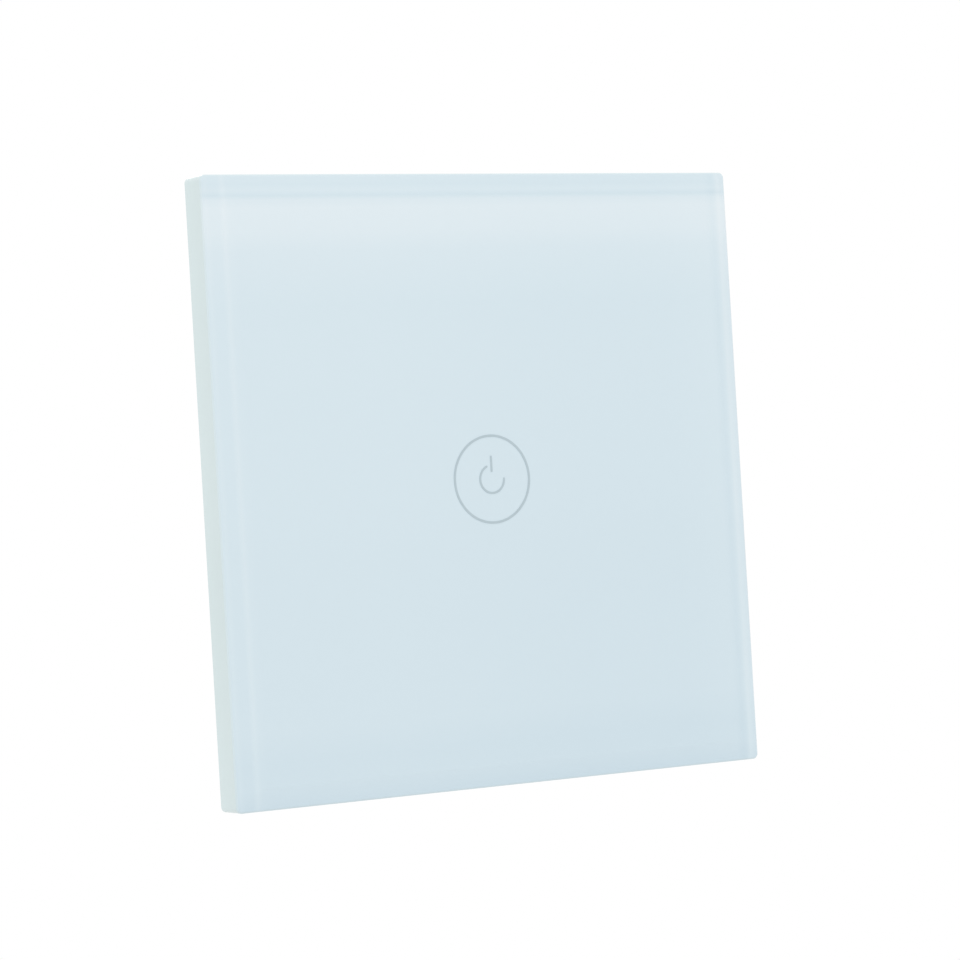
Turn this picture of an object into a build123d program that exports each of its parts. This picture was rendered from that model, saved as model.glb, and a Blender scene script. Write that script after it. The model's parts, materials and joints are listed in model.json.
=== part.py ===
from build123d import *

import os
from math import atan2, cos, pi, sin, sqrt

# A one-gang touch light switch with a square glass panel, for a square wall box.
# The origin is the middle of the wall plane. X runs to the right as seen from the room, Y into the
# wall and Z up. A level is a distance in front of the wall plane, so what lies inside the wall box
# has a negative level. All lengths are in millimetres.

os.makedirs("parts", exist_ok=True)

# Glass panel
panel_side = 86.0
glass_thick = 5.0
panel_corner = 0.8
border_corner = 0.3
border_width = 3.0
border_fall = 0.25
arris = 0.2

# Layers between the wall and the glass
stand_off = 5.5
enamel_thick = 0.1
enamel_margin = 0.4
tape_thick = 0.3
tape_margin = 0.8

# Touch mark: a ring round a power sign
ring_radius = 6.1
ring_line = 0.33
sign_radius = 1.95
sign_line = 0.3
sign_start = 114
sign_sweep = 246
bar_foot = 1.0
bar_length = 2.3
mark_thick = 0.04

# Panel frame, bonded behind the glass
frame_inset = 3.0
frame_wall = 1.6
frame_web = 1.4
frame_corner = 2.0
wall_gap = 0.3
window_side_band = 5.0
window_end_band = 13.0
window_corner = 3.0
peg_radius = 2.0
peg_spread = 52.0
peg_short = 0.6
peg_slot = 0.8
peg_slot_deep = 1.8
peg_chamfer = 0.3
pry_width = 10.0
pry_deep = 1.6

# Mounting frame, screwed to the wall box
skirt_gap = 0.35
plate_thick = 1.8
rim_wall = 1.4
rim_gap = 0.3
screw_spacing = 60.3
slot_radius = 2.0
slot_length = 8.0
slot_ring = 1.6
ring_rise = 0.5
peg_clearance = 0.05
boss_wall = 1.3
rib_width = 1.2
rib_rise = 0.8
seat_deep = 0.4
seat_room = 0.2

# Rear housing, inside the wall box
housing_width = 48.0
housing_height = 54.0
housing_wall = 1.8
housing_floor = 2.0
housing_corner = 3.0
opening_lap = 2.5
tube_radius = 3.0
tube_inset = 1.6
shoulder_radius = 4.6
ledge_reach = 4.6
ledge_width = 6.0
ledge_deep = 5.5
vent_width = 1.4
vent_pitch = 4.0
vent_count = 7
vent_length = 11.0
rear_chamfer = 0.8

# Housing screws, driven in from the rear
long_head_radius = 2.0
long_head_high = 2.0
long_shank_radius = 1.2
head_room = 0.2
head_sink = 0.4
shank_room = 0.2
thread_room = 0.05
screw_skin = 0.4
tip_room = 0.3
recess_width = 0.8
recess_deep = 0.9

# Circuit boards
board_thick = 1.6
sensor_thick = 1.0
board_gap = 0.4
sensor_sink = 3.0
board_screw_radius = 0.9
board_screw_head = 1.8
board_screw_high = 1.2
board_screw_length = 4.5

# Terminal block: three ways, each with a screw, a rising cage and a fixed bar
way_count = 3
way_pitch = 7.6
block_end = 0.7
block_high = 12.0
block_floor = 1.0
block_room = 0.2
cage_width = 6.0
cage_wall = 0.8
cage_length = 4.8
cage_gap = 0.1
cage_travel = 3.6
entry_deep = 3.0
wire_room = 4.4
bar_thick = 0.8
bar_width = 3.8
bar_gap = 0.2
leg_width = 3.0
pin_proud = 1.0
clamp_ledge = 0.8
clamp_head_radius = 2.1
clamp_head_high = 1.8
clamp_head_bore = 2.4
clamp_head_sink = 0.55
clamp_shank_radius = 1.3
clamp_shank_room = 0.1
clamp_seat_gap = 0.05

# Touch electrode: a wire spring between the sensor board and the glass
spring_radius = 3.0
spring_wire = 0.6
spring_turns = 4
spring_bend = 0.7
spring_gap = 0.2

# Light guide round the electrode, with two lamps under it
guide_inner = 5.0
guide_wall = 1.9
lamp_length = 2.0
lamp_width = 1.2
lamp_high = 0.8
lamp_room = 0.3

# Small parts on the sensor board
chip_width = 5.0
chip_high = 10.0
chip_thick = 1.5
chip_lift = 0.15
chip_leg = 0.4
chip_leg_reach = 0.9
chip_leg_pitch = 1.27
chip_legs = 7
chip_gap_share = 0.685
chip_bevel = 0.3
passive_length = 1.6
passive_width = 0.8
passive_thick = 0.6
passive_spacing = 2.4
passive_rows = 3
passive_gap_share = 0.446

# Relay
relay_width = 19.0
relay_high = 13.0
relay_tall = 12.0
relay_shell = 0.8
relay_corner = 0.8
relay_base_thick = 1.5
relay_room = 0.15
coil_radius = 3.9
coil_length = 5.6
bobbin_flange = 0.6
core_radius = 1.6
pole_radius = 2.8
pole_high = 0.7
coil_shift = 1.4
iron_thick = 1.0
iron_width = 7.0
iron_gap = 0.55
hinge_gap = 0.08
contact_leaf = 0.3
contact_gap = 1.0
contact_radius = 1.1
contact_high = 0.6
contact_place = 6.6

# Other parts on the power board
margin_gap = 0.6
left_margin_share = 0.117
column_gap_share = 0.372
left_gap_shares = (0.143, 0.143, 0.143, 0.206)
right_gap_share = 0.127
film_width = 13.0
film_high = 6.0
film_tall = 11.0
film_edge = 0.6
big_can_radius = 4.0
big_can_tall = 12.0
small_can_radius = 3.0
small_can_tall = 9.0
can_groove = 0.3
can_groove_at = 1.2
can_groove_high = 0.6
can_edge = 0.4
choke_radius = 3.6
choke_tall = 8.0
choke_flange = 1.0
choke_core_radius = 1.8
choke_room = 0.1
winding_inset = 0.5
varistor_radius = 3.5
varistor_thick = 2.6
varistor_lift = 0.8
lead_radius = 0.3
lead_spread = 5.0
fuse_radius = 1.5
fuse_length = 8.0
fuse_lift = 0.5
fuse_edge = 0.4
bridge_width = 4.8
bridge_high = 4.0
bridge_tall = 2.4
driver_width = 4.0
driver_high = 5.0
driver_thick = 1.5

# Plug-in header between the two boards
header_pins = 5
pin_spacing = 2.0
header_width = 2.4
header_base = 2.0
socket_tall = 5.0
pin_radius = 0.25
pin_room = 0.1
pin_short = 0.8

# Overrun of a cut past the face it opens
overrun = 1.0

# Levels, from the glass to the rear
glass_back = stand_off
glass_front = glass_back + glass_thick
enamel_back = glass_back - enamel_thick
tape_back = enamel_back - tape_thick
web_back = tape_back - frame_web
rim_top = web_back - rim_gap
sensor_back = -sensor_sink
sensor_front = sensor_back + sensor_thick
cage_inside = wire_room + bar_thick + bar_gap
cage_tall = cage_inside + 2 * cage_wall
pocket_tall = cage_tall + cage_travel + 2 * cage_gap
block_tall = block_floor + pocket_tall + clamp_ledge + clamp_head_high + clamp_head_sink + clamp_seat_gap
relay_front = sensor_back - margin_gap
board_front = relay_front - relay_tall
board_back = board_front - board_thick
rear_face = board_back - block_tall
floor_front = rear_face + housing_floor

# Places across the wall plane
frame_side = panel_side - 2 * frame_inset
window_width = frame_side - 2 * window_side_band
window_height = frame_side - 2 * window_end_band
plate_side = frame_side - 2 * (frame_wall + skirt_gap)
rim_inner = plate_side / 2 - rim_wall
peg_row = (window_height / 2 + rim_inner) / 2
tube_x = housing_width / 2 - housing_wall - tube_inset
tube_z = housing_height / 2 - housing_wall - tube_inset
tube_places = [(-tube_x, -tube_z), (-tube_x, tube_z), (tube_x, -tube_z), (tube_x, tube_z)]
inner_width = housing_width - 2 * housing_wall
inner_height = housing_height - 2 * housing_wall
opening_width = housing_width - 2 * opening_lap
opening_height = housing_height - 2 * opening_lap
board_width = inner_width - 2 * board_gap
board_height = inner_height - 2 * board_gap
notch_x = tube_x - tube_radius - board_gap
notch_z = tube_z - tube_radius - board_gap
ledge_place = inner_width / 2 - ledge_reach / 2
block_width = way_count * way_pitch + 2 * block_end
block_bottom = -housing_height / 2
clamp_z = block_bottom + entry_deep + cage_length / 2
pocket_top = block_bottom + entry_deep + cage_length + block_room
leg_z = pocket_top + block_room + bar_thick / 2

# Places on the power board: two columns between the screw tubes, above the terminal legs
column_free = 2 * notch_x - relay_width - 2 * big_can_radius
left_column = relay_width / 2 - notch_x + left_margin_share * column_free
right_column = left_column + relay_width / 2 + column_gap_share * column_free + big_can_radius
stack_top = board_height / 2 - margin_gap
stack_high = stack_top - (leg_z + bar_thick / 2 + block_room)
left_free = stack_high - relay_high - film_high - 2 * fuse_radius - driver_high - header_width
right_round = 2 * (big_can_radius + choke_radius + small_can_radius)
right_free = stack_high - right_round - varistor_thick - bridge_high
film_gap, fuse_gap, driver_gap, header_gap = [left_free * share for share in left_gap_shares]
right_gap = right_free * right_gap_share
relay_z = stack_top - relay_high / 2
film_z = relay_z - relay_high / 2 - film_gap - film_high / 2
fuse_z = film_z - film_high / 2 - fuse_gap - fuse_radius
driver_z = fuse_z - fuse_radius - driver_gap - driver_high / 2
header_z = driver_z - driver_high / 2 - header_gap - header_width / 2
big_can_z = stack_top - big_can_radius
choke_z = big_can_z - big_can_radius - right_gap - choke_radius
varistor_z = choke_z - choke_radius - right_gap - varistor_thick / 2
small_can_z = varistor_z - varistor_thick / 2 - right_gap - small_can_radius
bridge_z = small_can_z - small_can_radius - right_gap - bridge_high / 2

# Places on the sensor board: what lies between the light guide and the screws' heads
beside_guide = ledge_place - board_screw_head - guide_inner - guide_wall
chip_free = beside_guide - chip_width - 2 * chip_leg_reach
chip_place = guide_inner + guide_wall + chip_gap_share * chip_free + chip_leg_reach + chip_width / 2
passive_free = beside_guide - 3 * passive_length
passive_place = guide_inner + guide_wall + passive_gap_share * passive_free + 3 * passive_length / 2


def layer(level):
    """The plane parallel to the wall at a level, with X to the right and Z up."""
    return Plane.XZ.offset(level)


def row_places(count, pitch):
    """Distances from the middle of a row of evenly spaced features."""
    return [(number - (count - 1) / 2) * pitch for number in range(count)]


way_places = row_places(way_count, way_pitch)


# Glass panel: a square pane with a shallow ground border and eased edges
with BuildPart() as glass_panel:
    for level, inset, corner in (
        (glass_back, arris, panel_corner - arris),
        (glass_back + arris, 0, panel_corner),
        (glass_front - border_fall - arris, 0, panel_corner),
        (glass_front - border_fall, arris, panel_corner - arris),
        (glass_front, border_width, border_corner),
    ):
        with BuildSketch(layer(level)):
            RectangleRounded(panel_side - 2 * inset, panel_side - 2 * inset, corner)
    loft(ruled=True)
glass_panel.part.label = "glass_panel"
export_step(glass_panel.part, "parts/glass_panel.step")

# White enamel fired on the back of the glass
with BuildPart() as enamel_coat:
    with BuildSketch(layer(enamel_back)):
        RectangleRounded(panel_side - 2 * enamel_margin, panel_side - 2 * enamel_margin, panel_corner)
    extrude(amount=enamel_thick)
enamel_coat.part.label = "enamel_coat"
export_step(enamel_coat.part, "parts/enamel_coat.step")

# Touch mark printed on the front: a ring, an open arc and a bar
with BuildPart() as touch_mark:
    with BuildSketch(layer(glass_front)):
        Circle(ring_radius + ring_line / 2)
        Circle(ring_radius - ring_line / 2, mode=Mode.SUBTRACT)
        with BuildLine():
            CenterArc((0, 0), sign_radius, sign_start, sign_sweep)
            offset(amount=sign_line / 2)
        make_face()
        with Locations((0, bar_foot + bar_length / 2)):
            SlotOverall(bar_length, sign_line, rotation=90)
    extrude(amount=mark_thick)
touch_mark.part.label = "touch_mark"
export_step(touch_mark.part, "parts/touch_mark.step")

# Double-sided tape between the enamel and the panel frame
with BuildPart() as bond_tape:
    with BuildSketch(layer(tape_back)):
        RectangleRounded(frame_side - 2 * tape_margin, frame_side - 2 * tape_margin, frame_corner)
        RectangleRounded(window_width + 2 * tape_margin, window_height + 2 * tape_margin, window_corner,
                         mode=Mode.SUBTRACT)
    extrude(amount=tape_thick)
bond_tape.part.label = "bond_tape"
export_step(bond_tape.part, "parts/bond_tape.step")

# Panel frame: a web with a window, a skirt and four split pegs that push into the mounting frame
peg_places = [(x, z) for x in (-peg_spread / 2, peg_spread / 2) for z in (-peg_row, peg_row)]
with BuildPart() as panel_frame:
    with BuildSketch(layer(wall_gap)):
        RectangleRounded(frame_side, frame_side, frame_corner)
    extrude(amount=tape_back - wall_gap)
    with BuildSketch(layer(wall_gap)):
        Rectangle(frame_side - 2 * frame_wall, frame_side - 2 * frame_wall)
    extrude(amount=web_back - wall_gap, mode=Mode.SUBTRACT)
    with BuildSketch(layer(web_back)):
        RectangleRounded(window_width, window_height, window_corner)
    extrude(amount=frame_web, mode=Mode.SUBTRACT)
    with BuildSketch(layer(wall_gap)):
        with Locations((0, -frame_side / 2)):
            Rectangle(pry_width, 2 * frame_wall + overrun)
    extrude(amount=pry_deep, mode=Mode.SUBTRACT)
    with BuildSketch(layer(peg_short)):
        with Locations(peg_places):
            Circle(peg_radius)
    extrude(amount=web_back - peg_short)
    tips = panel_frame.edges().filter_by(lambda edge: edge.is_closed).group_by(Axis.Y)[-1]
    chamfer(tips, length=peg_chamfer)
    with BuildSketch(layer(peg_short)):
        with Locations(peg_places):
            Rectangle(2 * peg_radius + overrun, peg_slot)
    extrude(amount=peg_slot_deep, mode=Mode.SUBTRACT)
panel_frame.part.label = "panel_frame"
export_step(panel_frame.part, "parts/panel_frame.step")

# Mounting frame: a plate with a rim, two slots for the wall screws, sockets for the pegs, blind
# bosses for the housing's screws and a shallow seat at the back for the housing's edge
fill_x = opening_width / 2 - (tube_x - tube_radius - wall_gap)
fill_z = opening_height / 2 - (tube_z - tube_radius - wall_gap)
slot_places = [(-screw_spacing / 2, 0), (screw_spacing / 2, 0)]
with BuildPart() as mounting_frame:
    with BuildSketch(layer(0)):
        RectangleRounded(plate_side, plate_side, frame_corner)
    extrude(amount=rim_top)
    with BuildSketch(layer(plate_thick)):
        Rectangle(2 * rim_inner, 2 * rim_inner)
    extrude(amount=rim_top - plate_thick, mode=Mode.SUBTRACT)
    with BuildSketch(layer(plate_thick)):
        with Locations(slot_places):
            SlotOverall(slot_length + 2 * slot_ring, 2 * (slot_radius + slot_ring))
    extrude(amount=ring_rise)
    with BuildSketch(layer(plate_thick)):
        with GridLocations(opening_width + 2 * rib_width, 0, 2, 1):
            Rectangle(rib_width, opening_height)
        with GridLocations(0, opening_height + 2 * rib_width, 1, 2):
            Rectangle(opening_width, rib_width)
    extrude(amount=rib_rise)
    with BuildSketch(layer(0)):
        Rectangle(opening_width, opening_height - 2 * fill_z)
        Rectangle(opening_width - 2 * fill_x, opening_height)
    extrude(amount=rim_top, mode=Mode.SUBTRACT)
    with BuildSketch(layer(0)):
        with Locations(tube_places):
            Circle(tube_radius)
        with Locations(peg_places):
            Circle(peg_radius + peg_clearance + boss_wall)
    extrude(amount=rim_top)
    with BuildSketch(layer(0)):
        with Locations(peg_places):
            Circle(peg_radius + peg_clearance)
    extrude(amount=rim_top, mode=Mode.SUBTRACT)
    with BuildSketch(layer(0)):
        RectangleRounded(housing_width + 2 * seat_room, housing_height + 2 * seat_room,
                         housing_corner + seat_room)
    extrude(amount=seat_deep, mode=Mode.SUBTRACT)
    with BuildSketch(layer(0)):
        with Locations(tube_places):
            Circle(long_shank_radius + thread_room)
    extrude(amount=rim_top - screw_skin, mode=Mode.SUBTRACT)
    with BuildSketch(layer(0)):
        with Locations(slot_places):
            SlotOverall(slot_length, 2 * slot_radius)
    extrude(amount=rim_top, mode=Mode.SUBTRACT)
    with BuildSketch(layer(0)):
        with Locations((0, -plate_side / 2)):
            Rectangle(pry_width, 2 * rim_wall)
    extrude(amount=pry_deep, mode=Mode.SUBTRACT)
mounting_frame.part.label = "mounting_frame"
export_step(mounting_frame.part, "parts/mounting_frame.step")

# Rear housing: a deep box open at the front, with screw tubes, ledges, vents and an open corner
# at the bottom rear for the terminal block
with BuildPart() as rear_housing:
    with BuildSketch(layer(rear_face)):
        RectangleRounded(housing_width, housing_height, housing_corner)
    extrude(amount=seat_deep - rear_face)
    chamfer(rear_housing.faces().sort_by(Axis.Y)[-1].edges(), length=rear_chamfer)
    with BuildSketch(layer(floor_front)):
        RectangleRounded(inner_width, inner_height, housing_corner - housing_wall)
    extrude(amount=seat_deep - floor_front, mode=Mode.SUBTRACT)
    with BuildSketch(layer(floor_front)):
        with Locations(tube_places):
            Circle(shoulder_radius)
        Rectangle(inner_width, inner_height, mode=Mode.INTERSECT)
    extrude(amount=board_back - floor_front)
    with BuildSketch(layer(board_back)):
        with Locations(tube_places):
            Circle(tube_radius)
        Rectangle(inner_width, inner_height, mode=Mode.INTERSECT)
    extrude(amount=seat_deep - board_back)
    with BuildSketch(layer(sensor_back - ledge_deep)):
        with GridLocations(2 * ledge_place, 0, 2, 1):
            Rectangle(ledge_reach, ledge_width)
    extrude(amount=ledge_deep)
    with BuildSketch(layer(rear_face)):
        with Locations(tube_places):
            Circle(long_shank_radius + shank_room)
    extrude(amount=seat_deep - rear_face, mode=Mode.SUBTRACT)
    with BuildSketch(layer(rear_face)):
        with Locations(tube_places):
            Circle(long_head_radius + head_room)
    extrude(amount=long_head_high + head_sink, mode=Mode.SUBTRACT)
    with BuildSketch(layer(sensor_back - ledge_deep)):
        with GridLocations(2 * ledge_place, 0, 2, 1):
            Circle(board_screw_radius + thread_room)
    extrude(amount=ledge_deep, mode=Mode.SUBTRACT)
    with BuildSketch(layer(rear_face)):
        with Locations((0, block_bottom + (block_high + block_room) / 2 - overrun / 2)):
            Rectangle(block_width + 2 * block_room, block_high + block_room + overrun)
    extrude(amount=board_back - rear_face, mode=Mode.SUBTRACT)
    with BuildSketch(Plane.YZ):
        with Locations([(-(floor_front + board_back) / 2, z) for z in row_places(vent_count, vent_pitch)]):
            Rectangle(vent_length, vent_width)
    extrude(amount=housing_width / 2 + overrun, both=True, mode=Mode.SUBTRACT)
    with BuildSketch(Plane.XY):
        with Locations([(x, -(floor_front + board_back) / 2) for x in row_places(vent_count, vent_pitch)]):
            Rectangle(vent_width, vent_length)
    extrude(amount=housing_height / 2 + overrun, mode=Mode.SUBTRACT)
rear_housing.part.label = "rear_housing"
export_step(rear_housing.part, "parts/rear_housing.step")

# Four long screws that hold the housing to the mounting frame
long_seat = rear_face + long_head_high + head_sink
long_tip = rim_top - screw_skin - tip_room
with BuildPart() as housing_screws:
    with BuildSketch(layer(long_seat - long_head_high)):
        with Locations(tube_places):
            Circle(long_head_radius)
    extrude(amount=long_head_high)
    rims = housing_screws.edges().filter_by(GeomType.CIRCLE).group_by(Axis.Y)[-1]
    fillet(rims, radius=recess_width / 2)
    with BuildSketch(layer(long_seat)):
        with Locations(tube_places):
            Circle(long_shank_radius)
    extrude(amount=long_tip - long_seat)
    with BuildSketch(layer(long_seat - long_head_high)):
        with Locations(tube_places):
            Rectangle(2 * (long_head_radius - recess_width), recess_width)
            Rectangle(recess_width, 2 * (long_head_radius - recess_width))
    extrude(amount=recess_deep, mode=Mode.SUBTRACT)
housing_screws.part.label = "housing_screws"
export_step(housing_screws.part, "parts/housing_screws.step")

# Power board: it lies against the shoulders of the screw tubes
leg_places = [(x, leg_z) for x in way_places]
with BuildPart() as power_board:
    with BuildSketch(layer(board_back)):
        Rectangle(board_width, 2 * notch_z)
        Rectangle(2 * notch_x, board_height)
        with Locations(leg_places):
            Rectangle(leg_width + 2 * block_room, bar_thick + 2 * block_room, mode=Mode.SUBTRACT)
    extrude(amount=board_thick)
power_board.part.label = "power_board"
export_step(power_board.part, "parts/power_board.step")

# Sensor board: it lies on the ledges and carries the touch electrode
screw_places = [(-ledge_place, 0), (ledge_place, 0)]
with BuildPart() as sensor_board:
    with BuildSketch(layer(sensor_back)):
        Rectangle(board_width, 2 * notch_z)
        Rectangle(2 * notch_x, board_height)
        with Locations(screw_places):
            Circle(board_screw_radius + shank_room, mode=Mode.SUBTRACT)
    extrude(amount=sensor_thick)
sensor_board.part.label = "sensor_board"
export_step(sensor_board.part, "parts/sensor_board.step")

# Two small screws that hold the sensor board to the ledges
with BuildPart() as sensor_board_screws:
    with BuildSketch(layer(sensor_front - board_screw_length)):
        with Locations(screw_places):
            Circle(board_screw_radius)
    extrude(amount=board_screw_length)
    with BuildSketch(layer(sensor_front)):
        with Locations(screw_places):
            Circle(board_screw_head)
    extrude(amount=board_screw_high)
    rims = sensor_board_screws.edges().filter_by(GeomType.CIRCLE).group_by(Axis.Y)[0]
    fillet(rims, radius=recess_width / 2)
    with BuildSketch(layer(sensor_front + board_screw_high)):
        with Locations(screw_places):
            Rectangle(2 * (board_screw_head - recess_width), recess_width / 2)
            Rectangle(recess_width / 2, 2 * (board_screw_head - recess_width))
    extrude(amount=-board_screw_high / 2, mode=Mode.SUBTRACT)
sensor_board_screws.part.label = "sensor_board_screws"
export_step(sensor_board_screws.part, "parts/sensor_board_screws.step")


def arc_pair(start, start_way, end, end_way):
    """Two arcs that meet smoothly, from one point and direction to another."""
    chord = end - start
    both = start_way + end_way
    bend = 2 * (1 - start_way.dot(end_way))
    along = chord.dot(both)
    reach = (sqrt(along ** 2 + bend * chord.dot(chord)) - along) / bend
    middle = (start + start_way * reach + end - end_way * reach) / 2
    first = TangentArc(start, middle, tangent=start_way)
    TangentArc(middle, end, tangent=first % 1)


# Touch electrode: a sprung coil of wire, soldered upright on the sensor board
spring_tall = enamel_back - spring_gap - sensor_front
coil_rise = (spring_tall - 2 * spring_wire - 2 * spring_bend) / spring_turns
slope = atan2(coil_rise, 2 * pi * spring_radius)
steps = 4 * spring_turns
outward = Vector(0, -1, 0)


def coil_point(step):
    """A point of the coil after this many quarter turns."""
    angle = step * pi / 2
    level = sensor_front + spring_wire + spring_bend * cos(slope) + coil_rise * step / 4
    return Vector(spring_radius * cos(angle), -level, spring_radius * sin(angle))


def coil_way(step):
    """The direction of the wire after this many quarter turns."""
    angle = step * pi / 2
    return Vector(-sin(angle) * cos(slope), -sin(slope), cos(angle) * cos(slope))


def flat_way(step):
    """The direction of the wire without its climb."""
    angle = step * pi / 2
    return Vector(-sin(angle), 0, cos(angle))


side_step = spring_bend * (1 - sin(slope))
foot_top = coil_point(0) - flat_way(0) * side_step - outward * spring_bend * cos(slope)
head_foot = coil_point(steps) + flat_way(steps) * side_step + outward * spring_bend * cos(slope)
foot = Vector(foot_top.X, -sensor_front, foot_top.Z)
head = Vector(head_foot.X, -(sensor_front + spring_tall), head_foot.Z)
with BuildPart() as touch_electrode:
    with BuildLine() as wire_line:
        Line(foot, foot_top)
        TangentArc(foot_top, coil_point(0), tangent=outward)
        for step in range(steps):
            arc_pair(coil_point(step), coil_way(step), coil_point(step + 1), coil_way(step + 1))
        TangentArc(coil_point(steps), head_foot, tangent=coil_way(steps))
        Line(head_foot, head)
    with BuildSketch(Plane(origin=foot, z_dir=outward)):
        Circle(spring_wire / 2)
    sweep(path=wire_line.wires()[0])
touch_electrode.part.label = "touch_electrode"
export_step(touch_electrode.part, "parts/touch_electrode.step")

# The least gap between the wire and itself, measured on points along it
wire_path = wire_line.wires()[0]
point_count = 60 * spring_turns
wire_points = [wire_path @ (number / point_count) for number in range(point_count + 1)]
apart = int(point_count / spring_turns / 2)
least = min((wire_points[i] - wire_points[j]).length for i in range(point_count) for j in
            range(i + apart, point_count + 1))
print(f"touch electrode: least gap between turns {least - spring_wire:.2f} mm")
print(f"touch electrode: volume {touch_electrode.part.volume:.3f}, section times length "
      f"{pi * spring_wire ** 2 / 4 * wire_path.length:.3f}")

# Light guide: a clear ring round the electrode, notched over its two lamps
lamp_places = [(0, -(guide_inner + guide_wall / 2)), (0, guide_inner + guide_wall / 2)]
with BuildPart() as light_guide:
    with BuildSketch(layer(sensor_front)):
        Circle(guide_inner + guide_wall)
        Circle(guide_inner, mode=Mode.SUBTRACT)
    extrude(amount=tape_back - sensor_front)
    with BuildSketch(layer(sensor_front)):
        with Locations(lamp_places):
            Rectangle(lamp_length + 2 * lamp_room, 2 * guide_wall)
    extrude(amount=lamp_high + lamp_room, mode=Mode.SUBTRACT)
light_guide.part.label = "light_guide"
export_step(light_guide.part, "parts/light_guide.step")

# Two indicator lamps
with BuildPart() as indicator_lamps:
    with BuildSketch(layer(sensor_front)):
        with Locations(lamp_places):
            Rectangle(lamp_length, lamp_width)
    extrude(amount=lamp_high)
indicator_lamps.part.label = "indicator_lamps"
export_step(indicator_lamps.part, "parts/indicator_lamps.step")

# Touch chip with its legs
leg_rows = [(side * (chip_width + chip_leg_reach) / 2, z) for side in (-1, 1)
            for z in row_places(chip_legs, chip_leg_pitch)]
with BuildPart() as touch_chip:
    with BuildSketch(layer(sensor_front + chip_lift)):
        with Locations((chip_place, 0)):
            Rectangle(chip_width, chip_high)
    extrude(amount=chip_thick - chip_lift)
    chamfer(touch_chip.faces().sort_by(Axis.Y)[0].edges(), length=chip_bevel)
    with BuildSketch(layer(sensor_front)):
        with Locations([(chip_place + x, z) for x, z in leg_rows]):
            Rectangle(chip_leg_reach, chip_leg)
    extrude(amount=chip_lift + chip_leg)
touch_chip.part.label = "touch_chip"
export_step(touch_chip.part, "parts/touch_chip.step")

# Small resistors and capacitors beside the electrode
with BuildPart() as sensor_passives:
    with BuildSketch(layer(sensor_front)):
        with Locations((-passive_place, 0)):
            with GridLocations(2 * passive_length, passive_spacing, 2, passive_rows):
                Rectangle(passive_length, passive_width)
    extrude(amount=passive_thick)
sensor_passives.part.label = "sensor_passives"
export_step(sensor_passives.part, "parts/sensor_passives.step")

# Header on the power board and its socket behind the sensor board
pin_places = [(left_column + x, header_z) for x in row_places(header_pins, pin_spacing)]
with BuildPart() as board_header:
    with BuildSketch(layer(board_front)):
        with Locations((left_column, header_z)):
            Rectangle(header_pins * pin_spacing, header_width)
    extrude(amount=header_base)
    with BuildSketch(layer(board_front + header_base)):
        with Locations(pin_places):
            Circle(pin_radius)
    extrude(amount=sensor_back - pin_short - board_front - header_base)
board_header.part.label = "board_header"
export_step(board_header.part, "parts/board_header.step")

with BuildPart() as header_socket:
    with BuildSketch(layer(sensor_back - socket_tall)):
        with Locations((left_column, header_z)):
            Rectangle(header_pins * pin_spacing, header_width)
    extrude(amount=socket_tall)
    with BuildSketch(layer(sensor_back - socket_tall)):
        with Locations(pin_places):
            Circle(pin_radius + pin_room)
    extrude(amount=socket_tall - pin_short / 2, mode=Mode.SUBTRACT)
header_socket.part.label = "header_socket"
export_step(header_socket.part, "parts/header_socket.step")

# Terminal block: a pocket for each cage, open at the bottom where the wire goes in, and a bore
# for each screw, open at the rear
cage_front = board_back - block_floor - cage_gap
cage_rear = cage_front - cage_tall
pocket_rear = cage_front + cage_gap - pocket_tall
bar_rear = cage_rear + cage_wall + bar_gap
clamp_places = [(x, clamp_z) for x in way_places]
with BuildPart() as terminal_block:
    with BuildSketch(layer(rear_face)):
        with Locations((0, block_bottom + block_high / 2)):
            Rectangle(block_width, block_high)
    extrude(amount=block_tall)
    with BuildSketch(layer(pocket_rear)):
        with Locations([(x, (pocket_top + block_bottom - overrun) / 2) for x in way_places]):
            Rectangle(cage_width + 2 * cage_gap, pocket_top - block_bottom + overrun)
    extrude(amount=pocket_tall, mode=Mode.SUBTRACT)
    with BuildSketch(layer(bar_rear - bar_gap)):
        with Locations([(x, leg_z - block_room) for x in way_places]):
            Rectangle(leg_width + 2 * block_room, bar_thick + 4 * block_room)
    extrude(amount=board_back - bar_rear + bar_gap, mode=Mode.SUBTRACT)
    with BuildSketch(layer(rear_face)):
        with Locations(clamp_places):
            Circle(clamp_head_bore)
    extrude(amount=pocket_rear - clamp_ledge - rear_face, mode=Mode.SUBTRACT)
    with BuildSketch(layer(rear_face)):
        with Locations(clamp_places):
            Circle(clamp_shank_radius + clamp_shank_room)
    extrude(amount=pocket_rear - rear_face, mode=Mode.SUBTRACT)
terminal_block.part.label = "terminal_block"
export_step(terminal_block.part, "parts/terminal_block.step")

# Fixed bars: each runs through its cage and turns down into the power board
bar_bottom = block_bottom + entry_deep - bar_gap
leg_top = leg_z + bar_thick / 2
with BuildPart() as terminal_bars:
    with BuildSketch(layer(bar_rear)):
        with Locations([(x, (bar_bottom + leg_top) / 2) for x in way_places]):
            Rectangle(leg_width, leg_top - bar_bottom)
        with Locations([(x, clamp_z) for x in way_places]):
            Rectangle(bar_width, cage_length)
    extrude(amount=bar_thick)
    with BuildSketch(layer(bar_rear)):
        with Locations(leg_places):
            Rectangle(leg_width, bar_thick)
    extrude(amount=board_front + pin_proud - bar_rear)
terminal_bars.part.label = "terminal_bars"
export_step(terminal_bars.part, "parts/terminal_bars.step")

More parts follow.
